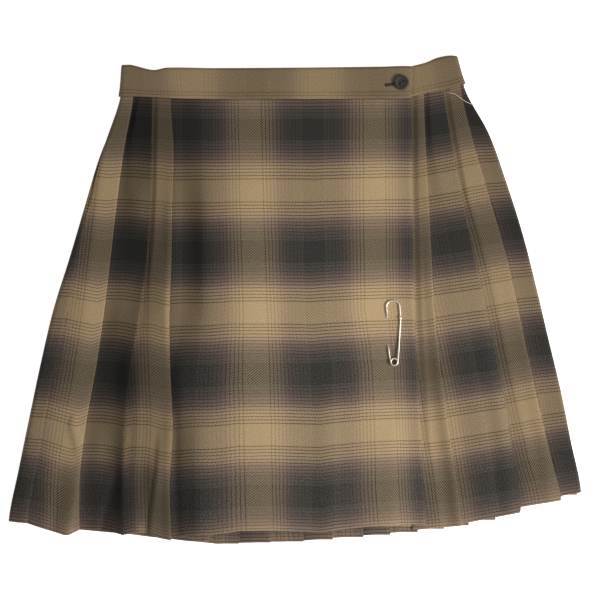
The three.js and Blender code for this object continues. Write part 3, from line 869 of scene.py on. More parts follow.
@dataclass(frozen=True)
class PlaidCloth:
    """Brushed twill whose tan stripes fade to charcoal through ever wider dark lines.

    A half sett is 61 units wide, from the middle of a tan stripe to the middle of a dark one.
    The tones down and across the cloth are wear in a small part. For the rest, like the patches,
    they are the shade of the pleats, fitted to the photo's mean tones, and stay in any light.
    """

    name: str = "plaid_twill"
    # Factor on the tone all over; the waistband's copy sets it below 1, which is painted shade
    depth: float = 1.0
    units: float = 61.0
    weft: Yarns = Yarns((
        (0.0, Hue(178, 152, 116)), (19.5, Hue(178, 152, 116)), (22.5, Hue(175, 150, 117)),
        (26.5, Hue(159, 136, 114)), (29.6, Hue(137, 114, 101)), (32.8, Hue(117, 99, 89)),
        (36.1, Hue(110, 93, 85)), (39.4, Hue(93, 80, 75)), (42.6, Hue(77, 71, 67)),
        (49.4, Hue(71, 67, 63)), (50.4, Hue(50, 50, 48)),
    ), 11.5, 3.3, 0.42)
    warp: Yarns = Yarns((
        (0.0, Hue(177, 152, 116)), (14.0, Hue(177, 152, 116)), (18.5, Hue(164, 141, 110)),
        (22.5, Hue(155, 133, 108)), (26.5, Hue(122, 103, 90)), (30.0, Hue(109, 92, 83)),
        (33.5, Hue(91, 76, 71)), (37.0, Hue(85, 73, 69)), (41.0, Hue(71, 66, 63)),
        (50.5, Hue(72, 68, 64)), (51.8, Hue(50, 50, 48)),
    ), 11.9, 3.55, 0.42)
    lines: tuple[tuple[float, Hue], ...] = (
        (0.0, Hue(86, 70, 57)), (20.0, Hue(78, 63, 55)), (28.0, Hue(62, 51, 48)),
        (40.0, Hue(47, 45, 43)), (61.0, Hue(47, 46, 44)),
    )
    # Pale lint on tufts of the nap, and a painted sheen on them that grows towards the hem
    lint_and_sheen_hue: Hue = Hue(150, 146, 136)
    lint_and_sheen: float = 0.03
    sheen_down: float = 0.28
    lint_and_sheen_tufts: tuple[float, float] = (0.47, 0.56)
    weft_yarn: float = 0.688 * MM
    warp_yarn: float = 0.733 * MM
    weft_float: float = 0.5
    weft_floor: float = 0.31
    softness: float = 0.49
    line_strength: float = 0.85
    unevenness: float = 2.0
    tone_down: tuple[tuple[float, float], ...] = (
        (0.0, 0.9), (0.2, 0.925), (0.46, 1.0), (0.6, 1.0), (0.77, 0.965), (1.0, 0.98),
    )
    tone_across: tuple[tuple[float, float], ...] = (
        (0.0, 0.98), (0.026, 0.98), (0.03, 0.88), (0.0385, 0.64), (0.0395, 0.95), (0.043, 0.86),
        (0.047, 0.84), (0.06, 0.9), (0.072, 0.91), (0.08, 0.78), (0.105, 0.76),
        (0.138, 0.72), (0.16, 0.85), (0.7, 0.86), (0.735, 0.75), (0.742, 0.8), (0.75, 0.89),
        (0.765, 0.88), (0.775, 0.74), (0.785, 0.55), (0.797, 0.5), (0.802, 0.62), (0.812, 0.66),
        (0.83, 0.66), (0.856, 0.65), (0.872, 0.96), (0.9, 1.01), (1.0, 1.01),
    )
    across_length: float = 1.94
    drift_scale: float = 30.0
    drift: float = 1.7 * MM
    fibre_scale: float = 2600.0
    tuft_scale: float = 800.0
    cloud_scale: float = 16.0
    cloud: float = 0.14
    brightness: float = 1.11
    # Painted shade between the yarns, as a share of the tone
    groove_shade: float = 0.34
    nap: float = 0.4
    pills: float = 0.85
    fibre_relief: float = 0.8
    relief: float = 0.35
    relief_height: float = 0.12 * MM
    matt: float = 0.92
    fuzz: float = 0.08
    patches: tuple[Patch, ...] = (
        # Apron: the valley that wanders beside its first ridge, and the pale crest by it
        Patch(1670, 164, 9, 75, 0.62), Patch(1649, 150, 9, 85, 1.2), Patch(1651, 301, 8, 32, 0.64),
        Patch(1665, 378, 9, 45, 0.72), Patch(1655, 421, 6, 30, 1.16), Patch(1672, 448, 8, 30, 0.75),
        # Olive pleat
        Patch(1569, 299, 7, 28, 0.72), Patch(1563, 371, 4, 28, 1.25), Patch(1589, 405, 6, 28, 0.68),
        Patch(1602, 400, 5, 32, 1.16), Patch(1594, 207, 12, 38, 0.76), Patch(1605, 137, 5, 35, 0.8),
        Patch(1580, 464, 6, 9, 1.35), Patch(1609, 215, 2.5, 75, 1.35),
        # Dark pleat
        Patch(1540, 299, 9, 30, 0.55), Patch(1525, 392, 9, 42, 1.4), Patch(1543, 405, 5, 40, 0.7),
        Patch(1524, 214, 14, 22, 1.22), Patch(1542, 120, 8, 28, 1.35),
    )

    def yarns(
        self, wires: Wires, measure: object, half_sett: float, kind: Yarns
    ) -> bpy.types.NodeSocket:
        """Colours of one set of yarns.

        Args:
            wires: The material's nodes.
            measure: Place across these yarns, in metres.
            half_sett: Width of half a sett, in metres.
            kind: Their ground and lines.

        Returns:
            The colour, still to be brought to light.
        """
        at = self.units
        part = wires.centred(wires.math("DIVIDE", measure, 2 * half_sett))
        share = wires.math("MULTIPLY", wires.math("ABSOLUTE", part), 2.0)
        ground = wires.ramp(share, [(unit / at, hue.woven()) for unit, hue in kind.ground])
        lines = wires.ramp(share, [(unit / at, hue.woven()) for unit, hue in self.lines])
        units = wires.math("MULTIPLY", share, at)
        turn = wires.math("DIVIDE", wires.math("SUBTRACT", units, kind.first_line),
                          kind.line_pitch)
        nearest = wires.centred(wires.math("ADD", turn, 0.5))
        away = wires.math("MULTIPLY", wires.math("ABSOLUTE", nearest), kind.line_pitch)
        off_line = wires.remap(away, kind.line_half - 0.15, kind.line_half + 0.25)
        on_line = wires.scaled(off_line, -self.line_strength, self.line_strength)
        from_first = wires.remap(units, kind.first_line - 1.6, kind.first_line - 1.4)
        return wires.blend(wires.math("MULTIPLY", on_line, from_first), ground, lines)

    def grey(self, wires: Wires, share: object, stops: Sequence[tuple[float, float]]) -> object:
        """Grey along a share, by which the cloth is toned."""
        return wires.ramp(share, [(place, (tone, tone, tone, 1.0)) for place, tone in stops])

    def material(self) -> bpy.types.Material:
        """Builds the cloth's material.

        Returns:
            The material, which reads the piece's own map of the cloth in metres.
        """
        wires = Wires(self.name)
        cloth = wires.node("ShaderNodeUVMap", uv_map=CLOTH_MAP).outputs[0]
        drift = wires.noise(cloth, self.drift_scale, 5, 0.5, "Color")
        moved = wires.vector("SUBTRACT", drift, (0.5, 0.5, 0.5))
        moved = wires.vector("MULTIPLY", moved, (self.drift,) * 3)
        across, down, _ = wires.split(wires.vector("ADD", cloth, moved))

        warp = self.yarns(wires, across, HALF_SETT_ACROSS * MM, self.warp)
        from_row = wires.math("SUBTRACT", down, FIRST_DARK_ROW * MM)
        weft = self.yarns(wires, from_row, HALF_SETT_DOWN * MM, self.weft)

        warp_count = wires.math("DIVIDE", across, self.warp_yarn)
        weft_count = wires.math("DIVIDE", down, self.weft_yarn)
        fibres = wires.noise(cloth, self.fibre_scale, 3, 0.6)
        slip = wires.scaled(fibres, self.unevenness, -self.unevenness / 2)
        steps = wires.math("ADD", wires.math("ADD", warp_count, slip),
                           wires.math("FLOOR", weft_count))
        phase = wires.math("FRACT", wires.math("DIVIDE", steps, 4.0))
        pulse = wires.math("MULTIPLY", wires.math("PINGPONG", phase, 0.5), 2.0)
        over = wires.remap(pulse, 1 - self.weft_float - self.softness,
                           1 - self.weft_float + self.softness)
        weft_share = wires.scaled(over, 1 - self.weft_floor, self.weft_floor)
        colour = wires.blend(weft_share, warp, weft)
        tufts = wires.noise(cloth, self.tuft_scale, 3, 0.6)
        # Pale lint on the tufts, and a painted sheen on them that grows towards the hem
        lint_and_sheen = wires.math("MULTIPLY", wires.scaled(down, self.sheen_down, self.lint_and_sheen),
                          wires.remap(tufts, *self.lint_and_sheen_tufts))
        colour = wires.blend(lint_and_sheen, colour, self.lint_and_sheen_hue.woven())

        weft_round = self.rounded(wires, weft_count)
        warp_round = self.rounded(wires, warp_count)
        height = wires.math("ADD", wires.math("MULTIPLY", over, weft_round),
                            wires.math("MULTIPLY", wires.math("SUBTRACT", 1.0, over), warp_round))
        cloud = wires.noise(cloth, self.cloud_scale, 4, 0.55)
        # Painted shade: the tone is darker between the yarns, where the height is low
        tone = wires.scaled(height, self.groove_shade, self.brightness - self.groove_shade)
        for noise, strength in ((fibres, self.nap), (tufts, self.pills)):
            tone = wires.math("ADD", tone, wires.scaled(noise, strength, -strength / 2))
        soft = wires.scaled(cloud, self.cloud, 1 - self.cloud / 2)
        level = wires.math("MULTIPLY", wires.math("MULTIPLY", tone, soft), self.depth)
        level = self.spotted(wires, cloth, level)
        shade = wires.node("ShaderNodeCombineColor")
        for socket in shade.inputs:
            wires.join(level, socket)
        toned = wires.blend(1.0, colour, shade.outputs[0], "MULTIPLY")
        for place, whole, stops in ((down, CLOTH_LENGTH * MM, self.tone_down),
                                    (across, self.across_length, self.tone_across)):
            grey = self.grey(wires, wires.math("DIVIDE", place, whole), stops)
            toned = wires.blend(1.0, toned, grey, "MULTIPLY")
        light = wires.node("ShaderNodeGamma")
        wires.join(toned, light.inputs["Color"])
        light.inputs["Gamma"].default_value = 2.2 / WOVEN_MIX
        wires.join(light.outputs[0], wires.shader.inputs["Base Color"])

        relief = wires.math("ADD", height, wires.math("MULTIPLY", fibres, self.fibre_relief))
        wires.bump(relief, self.relief, self.relief_height)
        wires.set(Roughness=self.matt, Specular_IOR_Level=0.12, Sheen_Weight=self.fuzz,
                  Sheen_Roughness=0.5, Sheen_Tint=(0.9, 0.84, 0.75, 1))
        return wires.material

    def spotted(self, wires: Wires, cloth: object, level: object) -> object:
        """Tones the cloth at its patches.

        Args:
            wires: The material's nodes.
            cloth: Place on the cloth, in metres.
            level: Tone without the patches.

        Returns:
            Tone with the patches.
        """
        for patch in self.patches:
            away = wires.vector("SUBTRACT", cloth, (patch.across * MM, patch.down * MM, 0))
            away = wires.vector("MULTIPLY", away,
                                (1 / (patch.wide * MM), 1 / (patch.long * MM), 0))
            square = wires.vector("DOT_PRODUCT", away, away)
            near = wires.math("EXPONENT", wires.math("MULTIPLY", square, -1.0))
            level = wires.math("MULTIPLY", level, wires.scaled(near, patch.tone - 1, 1.0))
        return level

    def rounded(self, wires: Wires, count: object) -> bpy.types.NodeSocket:
        """Works out a height across each yarn.

        Args:
            wires: The material's nodes.
            count: Place in yarns.

        Returns:
            1 on a yarn's middle and 0 between two yarns.
        """
        away = wires.math("MULTIPLY", wires.centred(count), 2.0)
        return wires.math("SUBTRACT", 1.0, wires.math("MULTIPLY", away, away))


@dataclass(frozen=True)
class ButtonPlastic:
    """Charcoal moulded plastic, faintly mottled, with a satin polish."""

    base: Hue = Hue(38, 37, 35)
    worn: Hue = Hue(60, 58, 55)
    mottle_scale: float = 420.0
    mottled: tuple[float, float] = (0.45, 0.75)
    polish_scale: float = 900.0
    rough: float = 0.4
    rough_spread: float = 0.16
    relief: float = 0.15
    relief_height: float = 0.05 * MM

    def material(self) -> bpy.types.Material:
        """Builds the button's material.

        Returns:
            The material.
        """
        wires = Wires("charcoal_plastic")
        place = wires.node("ShaderNodeTexCoord").outputs["Object"]
        mottle = wires.remap(wires.noise(place, self.mottle_scale, 3, 0.6), *self.mottled)
        colour = wires.blend(mottle, self.base.linear(), self.worn.linear())
        wires.join(colour, wires.shader.inputs["Base Color"])
        polish = wires.noise(place, self.polish_scale, 2, 0.5)
        rough = wires.scaled(polish, self.rough_spread, self.rough)
        wires.join(rough, wires.shader.inputs["Roughness"])
        wires.bump(polish, self.relief, self.relief_height)
        wires.set(Specular_IOR_Level=0.5)
        return wires.material


@dataclass(frozen=True)
class PinSteel:
    """Bright drawn wire, plated, with faint drawing marks."""

    base: Hue = Hue(250, 245, 230)
    dull: Hue = Hue(228, 220, 202)
    marks_scale: float = 1500.0
    rough: float = 0.3
    rough_spread: float = 0.2
    relief: float = 0.08
    relief_height: float = 0.03 * MM

    def material(self) -> bpy.types.Material:
        """Builds the pin's material.

        Returns:
            The material.
        """
        wires = Wires("plated_wire")
        place = wires.node("ShaderNodeTexCoord").outputs["Object"]
        marks = wires.noise(place, self.marks_scale, 3, 0.6)
        rough = wires.scaled(marks, self.rough_spread, self.rough)
        wires.join(rough, wires.shader.inputs["Roughness"])
        wires.bump(marks, self.relief, self.relief_height)
        tone = wires.blend(marks, self.base.linear(), self.dull.linear())
        wires.join(tone, wires.shader.inputs["Base Color"])
        wires.set(Metallic=1.0)
        return wires.material


class ThreadColour(Enum):
    """Colours of the sewing threads."""

    DARK = Hue(27, 24, 23)
    CREAM = Hue(222, 208, 180)


@dataclass(frozen=True)
class Thread:
    """Twisted sewing thread."""

    colour: ThreadColour
    twist: float = 0.5 * MM
    # Painted shade in the grooves between the plies, as a share of the colour
    shade_between_plies: float = 0.75
    relief: float = 0.4
    relief_height: float = 0.08 * MM

    def material(self) -> bpy.types.Material:
        """Builds the thread's material.

        Returns:
            The material.
        """
        wires = Wires("thread_" + self.colour.name.lower())
        place = wires.node("ShaderNodeTexCoord").outputs["Object"]
        across, up, _ = wires.split(place)
        slant = wires.math("ADD", across, up)
        ply = wires.math("PINGPONG", slant, self.twist / 2)
        height = wires.math("DIVIDE", ply, self.twist / 2)
        hue = self.colour.value
        # Painted shade: the thread is darker in the grooves between its plies
        ply_shade = Hue(*(part * self.shade_between_plies for part in (hue.red, hue.green, hue.blue)))
        wires.join(wires.blend(height, ply_shade.linear(), hue.linear()),
                   wires.shader.inputs["Base Color"])
        wires.bump(height, self.relief, self.relief_height)
        wires.set(Roughness=0.7, Sheen_Weight=0.2)
        return wires.material


@dataclass(frozen=True)
class Pleat:
    """A front pleat: its fold edge down the skirt, its hem and the stripe that it shows."""

    name: str
    edge: Line
    hem_start: float
    hem_end: float
    column: float
    hollow: float = 0.0

    @property
    def cloth(self) -> float:
        """Place along the cloth at its fold."""
        return self.column * HALF_SETT_ACROSS + PAST_COLUMN


@dataclass
class BackFolds:
    """Where the pleats across the back lie."""

    waist: Line = (
        166.5, 147.5, 128, 109, 89.5, 70.5, 51, 32, 12.5, -6.5, -26, -45.5, -64.5, -84, -103,
        -122.5, -141.5, -161,
    )
    hem: Line = (
        291.5, 256, 224.5, 196.5, 168, 141, 113, 84, 55, 23.5, -8, -42, -76, -109.5, -148.5,
        -192.5, -241, -291.5,
    )
    hollow: Line = (
        0.5, 0.7, 0.4, 0.8, 0.6, 0.3, 0.7, 0.5, 0.8, 0.4, 0.6, 0.9, 0.5, 0.7, 0.4, 0.8, 0.6, 0.5,
    )
    first_column: int = 4

    @property
    def last(self) -> int:
        """Number of the last fold."""
        return len(self.waist) - 1

    def x(self, i: int, t: float) -> float:
        """Places a fold, which keeps its share of the width between both sides.

        Args:
            i: Number of the fold.
            t: Level from 0 to 1.

        Returns:
            Its place x.
        """
        shares = []
        for value, level in ((self.waist[i], 0.0), (self.hem[i], 1.0)):
            left = at_level(LEFT_SIDE, level)
            shares.append((value - left) / (at_level(RIGHT_SIDE, level) - left))
        left = at_level(LEFT_SIDE, t)
        return mix(left, at_level(RIGHT_SIDE, t), mix(shares[0], shares[1], t))

    def overlap(self, i: int, t: float, before: float) -> float:
        """Overlap of fold i, from the width that it shows.

        Args:
            i: Number of the fold.
            t: Level.
            before: Run of the third right pleat's fold, for the first fold.

        Returns:
            The overlap.
        """
        x = self.x(i, t)
        if i > 0:
            return overlap(self.x(i - 1, t) - x)
        s = RIGHT.back(x, t)
        return min(overlap(s - before), s - RIGHT.quarter - WALL)

    def cloth(self, i: int) -> float:
        """Place along the cloth at fold i."""
        return (self.first_column + i) * HALF_SETT_ACROSS + PAST_COLUMN


def straight(line: Callable[[float], float], t: float) -> float:
    """A line that runs straight between its values at the waist, the quarters and the hem."""
    quarter = min(int(t * 4), 3)
    return mix(line(quarter / 4), line((quarter + 1) / 4), t * 4 - quarter)


@dataclass
class SidePleats(ClothPanel):
    """Knife pleats of the front that go round a side to the back."""

    side: Side = RIGHT
    front_seam: Run = RIGHT_SEAM
    pleats: tuple[Pleat, ...] = ()
    path: PleatPath = PleatPath()
    back: BackFolds = field(default_factory=BackFolds)

    def place(self, run: float, depth: float, t: float) -> tuple[float, float]:
        """Where a point of the cloth lies, as x and z."""
        return self.side.place(run, depth, t)

    def seam_at(self, spot: Spot, x: float) -> float:
        """Height of the waist seam at a point."""
        behind = spot.run * self.side.direction < 0
        return along(BACK_SEAM if behind else self.front_seam, x)

    def front_overlap(self, pleat: Pleat, before: float, edge: float) -> float:
        """Overlap of a front pleat, between two runs."""
        raise NotImplementedError

    def front_hem(self, pleat: Pleat, before: float, edge: float) -> Callable[[float], float]:
        """Hem height of a front pleat, as a function of the run."""
        raise NotImplementedError

    def front_folds(self, last: float, t: float) -> list[Fold]:
        """Lays the front pleats at a level.

        Args:
            last: Run of the edge before the first of them.
            t: Level from 0 to 1.

        Returns:
            The pleats in order.
        """
        folds = []
        for pleat in self.pleats:
            edge = self.side.front(at_level(pleat.edge, t), t)
            folds.append(Fold(
                last, edge, self.front_overlap(pleat, last, edge), pleat.cloth,
                self.front_hem(pleat, last, edge), pleat.hem_start, pleat.hem_end,
                pleat.hollow, True,
            ))
            last = edge
        return folds


@dataclass
class RightPleats(SidePleats):
    """The strip beside the apron and the knife pleats round the right side."""

    name: str = "right_pleats_cloth"
    rows: int = 66
    rows_near_seam: int = 7
    top: float = RIGHT_HEIGHT
    seam_slack: float = 5.5
    begins_under: float = 15.0
    pleats: tuple[Pleat, ...] = (
        Pleat("strip", (137.6, 139.9, 143.1, 146.0, 148.9, 155.0, 162.6, 171.4, 178.3),
              -246, -242, 1),
        Pleat("second", (159.1, 167.6, 178.3, 189.6, 202.4, 214.6, 225.4, 233.8, 241.6),
              -240.5, -228, 2, 0.3),
        Pleat("third", (176.8, 189.2, 205.2, 221.6, 235.1, 246.9, 259.0, 271.8, 285.4),
              -222.5, -215, 3, 0.3),
    )
    side_hem: tuple[float, float] = (-210.6, -206)
    strip_share: float = 0.75

    def spots(self, t: float) -> list[Spot]:
        """Lays the cloth's points at a level.

        Args:
            t: Level from 0 to 1.

        Returns:
            The points in order along the cloth.
        """
        apron_edge = RIGHT.front(at_level(APRON_EDGE, t), t)
        folds = self.front_folds(apron_edge, t)
        last = folds[-1].edge

        def round_side(run: float) -> float:
            """Hem height of the side panel at a run.

            Args:
                run: Run from the side's outermost point.

            Returns:
                The height.
            """
            if run > 0:
                return along(BACK_HEM, RIGHT.place(run, 0, 1)[0])
            return mix(*self.side_hem, min(max((run - last) / -last, 0), 1))

        folds.append(Fold(
            last, RIGHT.back(self.back.x(0, t), t), self.back.overlap(0, t, last),
            self.back.cloth(0), round_side, self.side_hem[0],
            along(BACK_HEM, self.back.x(0, 1.0)), self.back.hollow[0],
        ))
        end = RIGHT.back(self.seam_x(t) + GAP / 2, t)
        return self.path.spots(apron_edge - self.begins_under, folds, end)

    def front_overlap(self, pleat: Pleat, before: float, edge: float) -> float:
        """Overlap of a front pleat, which is less for the strip."""
        return overlap(edge - before, self.strip_share if pleat is self.pleats[0] else 1.0)

    def front_hem(self, pleat: Pleat, before: float, edge: float) -> Callable[[float], float]:
        """Hem height of a front pleat, straight from its start to its fold edge."""
        return lambda run: mix(
            pleat.hem_start, pleat.hem_end, min(max((run - before) / (edge - before), 0), 1)
        )

    def seam_x(self, t: float) -> float:
        """Finds where these pleats meet the back's, behind the first back fold.

        Args:
            t: Level from 0 to 1.

        Returns:
            The place x.
        """
        def half_under(level: float) -> float:
            """Middle of that overlap at a level."""
            before = RIGHT.front(at_level(self.pleats[-1].edge, level), level)
            return self.back.x(0, level) + self.back.overlap(0, level, before) / 2

        return straight(half_under, t)


@dataclass
class BackPleats(ClothPanel):
    """The knife pleats across the back."""

    name: str = "back_pleats_cloth"
    path: PleatPath = PleatPath(shown_points=12, turn_points=4, hidden_points=3)
    folds: BackFolds = field(default_factory=BackFolds)
    seam_depth: float = 0.5

    def seam_x(self, i: int, t: float) -> float:
        """Finds where two of the back's pieces meet, hidden behind a fold.

        Args:
            i: Number of the fold.
            t: Level from 0 to 1.

        Returns:
            The place x.
        """
        if i == 0:
            return RightPleats().seam_x(t)
        return straight(
            lambda level: self.folds.x(i, level) + self.folds.overlap(i, level, 0) / 2, t
        )

    def spots(self, t: float) -> list[Spot]:
        """Lays the cloth's points at a level.

        Args:
            t: Level from 0 to 1.

        Returns:
            The points in order along the cloth.
        """
        made = []
        for i in range(1, self.folds.last):
            edge = -self.folds.x(i, t)
            hem = along(BACK_HEM, self.folds.x(i, 1.0))
            before = along(BACK_HEM, self.folds.x(i - 1, 1.0))
            made.append(Fold(
                -self.folds.x(i - 1, t), edge, self.folds.overlap(i, t, 0),
                self.folds.cloth(i), lambda run: along(BACK_HEM, -run), before, hem,
                self.folds.hollow[i],
            ))
        begin = GAP / 2 - self.seam_x(0, t)
        end = -GAP / 2 - self.seam_x(self.folds.last - 1, t)
        return self.path.spots(begin, made, end)

    def place(self, run: float, depth: float, t: float) -> tuple[float, float]:
        """Where a point of the cloth lies, as x and z."""
        return -run, WALL / 2 + pressed(depth, self.seam_depth, t)

    def seam_at(self, spot: Spot, x: float) -> float:
        """Height of the waist seam at a point."""
        return along(BACK_SEAM, x)


@dataclass
class LeftPleats(SidePleats):
    """The last back pleat and the knife pleats round the left side to the apron."""

    name: str = "left_pleats_cloth"
    rows: int = 72
    rows_near_seam: int = 7
    top: float = LEFT_HEIGHT
    side: Side = LEFT
    front_seam: Run = FRONT_SEAM
    side_edge: Line = (-9, -3, 4.5, 11.5, 18.6, 20.1, 20.6, 22.9, 24.0)
    side_cloth: float = 22 * HALF_SETT_ACROSS + 29
    side_hem_end: float = -238.5
    side_hollow: float = 0.2
    pleats: tuple[Pleat, ...] = (
        Pleat("pale", (-173.6, -183.5, -191.3, -198.0, -205.0, -213.4, -223.8, -230.6, -231.3),
              -240, -246.5, 23, 0.3),
        Pleat("dark", (-153.0, -154.1, -155.6, -159.5, -167.7, -177.2, -182.6, -184.4, -183.2),
              -245, -252, 24, 0.2),
        Pleat("olive", APRON_START, -248.5, -257.4, 25, 0.2),
    )

    def spots(self, t: float) -> list[Spot]:
        """Lays the cloth's points at a level.

        Args:
            t: Level from 0 to 1.

        Returns:
            The points in order along the cloth.
        """
        i = self.back.last
        before = LEFT.back(self.back.x(i - 1, t), t)
        edge = LEFT.back(self.back.x(i, t), t)
        last_back = Fold(
            before, edge, self.back.overlap(i, t, 0), self.back.cloth(i), self.hem_at,
            along(BACK_HEM, self.back.x(i - 1, 1)), along(BACK_HEM, self.back.x(i, 1)),
            self.back.hollow[i],
        )
        side_edge = at_level(self.side_edge, t)
        side = Fold(
            edge, side_edge, self.clear_of_turn(edge, side_edge), self.side_cloth, self.hem_at,
            last_back.edge_hem, self.side_hem_end, self.side_hollow,
        )
        begin = LEFT.back(BackPleats().seam_x(i - 1, t) - GAP / 2, t)
        end = LEFT.front(apron_seam_x(t) - GAP / 2, t)
        return self.path.spots(begin, [last_back, side, *self.front_folds(side_edge, t)], end)

    def clear_of_turn(self, before: float, edge: float) -> float:
        """Overlap of a fold, kept clear of the turn round the side."""
        room = max(SHALLOWEST_PLEAT, edge - LEFT.quarter - WALL)
        return min(room, overlap(edge - before))

    def front_overlap(self, pleat: Pleat, before: float, edge: float) -> float:
        """Overlap of a front pleat."""
        return self.clear_of_turn(before, edge)

    def hem_at(self, run: float) -> float:
        """Hem height at a run."""
        return along(LEFT_HEM if run > 0 else BACK_HEM, LEFT.place(run, 0, 1)[0])

    def front_hem(self, pleat: Pleat, before: float, edge: float) -> Callable[[float], float]:
        """Hem height of a front pleat, read from the left hem."""
        return self.hem_at


def apron_seam_x(t: float) -> float:
    """Finds where the left pleats meet the apron, behind the olive pleat's fold.

    Args:
        t: Level from 0 to 1.

    Returns:
        The place x.
    """
    dark = LeftPleats.pleats[1].edge

    def half_under(level: float) -> float:
        """Middle of that overlap at a level."""
        fold = at_level(APRON_START, level)
        return fold - overlap(fold - at_level(dark, level)) / 2

    return straight(half_under, t)


@dataclass
class OverApron(ClothPanel):
    """The plain front panel, with a turned edge on its right."""

    name: str = "over_apron_cloth"
    rows: int = 104
    rows_near_seam: int = 6
    top: float = APRON_Z
    columns: int = 120
    seam_z: float = 8.5
    edge_turn: float = 1.1
    edge_width: float = 2.6
    column_levels: Line = (0, 0.25, 0.49, 0.63, 0.78, 0.92, 1)
    first_column: int = 26
    columns_x: tuple[Line, ...] = (
        (-110.2, -110.2, -110.2, -120.0, -121.5, -121.5, -121.5),
        (-49.5, -46.6, -41.9, -40.5, -38.9, -37.0, -35.5),
        (19.0, 20.0, 21.5, 28.5, 31.2, 29.5, 30.0),
        (86.0, 86.5, 87.4, 96.0, 98.5, 100.5, 104.0),
        (143.5, 144.0, 146.2, 150.0, 153.0, 157.0, 158.6),
    )
    hem: Run = (
        (-160, -255), (-131, -254.5), (-112, -252), (-89, -251.5), (-59, -247.5), (-24, -247),
        (29, -249), (43, -246.5), (78.5, -243), (115, -240.5), (141, -240.5),
    )

    def cloth_at(self, x: float, t: float) -> float:
        """Reads the place along the cloth from where its stripes lie at a level.

        Args:
            x: Place across the skirt.
            t: Level from 0 to 1.

        Returns:
            The measure along the cloth.
        """
        places = [float(np.interp(t, self.column_levels, row)) for row in self.columns_x]
        places.insert(0, places[0] - HALF_SETT_ACROSS)
        measures = [
            (self.first_column - 1 + k) * HALF_SETT_ACROSS for k in range(len(places))
        ]
        return float(np.interp(x, places, measures))

    def spots(self, t: float) -> list[Spot]:
        """Lays the cloth's points at a level.

        Args:
            t: Level from 0 to 1.

        Returns:
            The points in order along the cloth.
        """
        left = apron_seam_x(t) + GAP / 2
        right = at_level(APRON_EDGE, t)
        made = []
        for k in range(self.columns + 1):
            x = mix(left, right, k / self.columns)
            made.append(Spot(x, self.edge_drop(right - x), self.cloth_at(x, t), along(self.hem, x)))
        return made

    def edge_drop(self, from_edge: float) -> float:
        """How far the turned edge drops, next to the edge."""
        share = max(1 - from_edge / self.edge_width, 0)
        return self.edge_turn * share**2

    def place(self, run: float, depth: float, t: float) -> tuple[float, float]:
        """Where a point of the cloth lies, as x and z."""
        return run, mix(self.seam_z, APRON_Z, ease(0, PRESSED_DOWN_TO, t)) - depth

    def seam_at(self, spot: Spot, x: float) -> float:
        """Height of the waist seam at a point."""
        return along(FRONT_SEAM, x)


@dataclass
class UnderApron(ClothPanel):
    """The plain panel under the apron, hidden but for its hem from low down."""

    name: str = "under_apron_cloth"
    rows: int = 48
    rows_near_seam: int = 3
    columns: int = 36
    edge: Line = (-118, -121, -123, -125, -127)
    hem: float = -243.0
    tuck: float = 15.3
    swell: float = 0.5

    def spots(self, t: float) -> list[Spot]:
        """Lays the cloth's points at a level.

        Args:
            t: Level from 0 to 1.

        Returns:
            The points in order along the cloth.
        """
        left = at_level(self.edge, t)
        right = at_level(APRON_EDGE, t) - self.tuck
        made = []
        for k in range(self.columns + 1):
            x = mix(left, right, k / self.columns)
            made.append(Spot(x, 0.0, HALF_SETT_ACROSS + x - right, self.hem))
        return made

    def place(self, run: float, depth: float, t: float) -> tuple[float, float]:
        """Where a point of the cloth lies, as x and z, with slow swells towards the hem."""
        wave = math.sin(run / 31.0) * math.sin(run / 74.0 + 1.0)
        return run, UNDER_Z - depth + self.swell * (1 + wave) / 2 * ease(0.1, 0.9, t)

    def seam_at(self, spot: Spot, x: float) -> float:
        """Height of the waist seam at a point."""
        return along(RIGHT_SEAM, x)


class Station(NamedTuple):
    """A place along the waistband: its seam and top edges and its height."""

    seam_x: float
    seam_y: float
    top_x: float
    top_y: float
    z: float


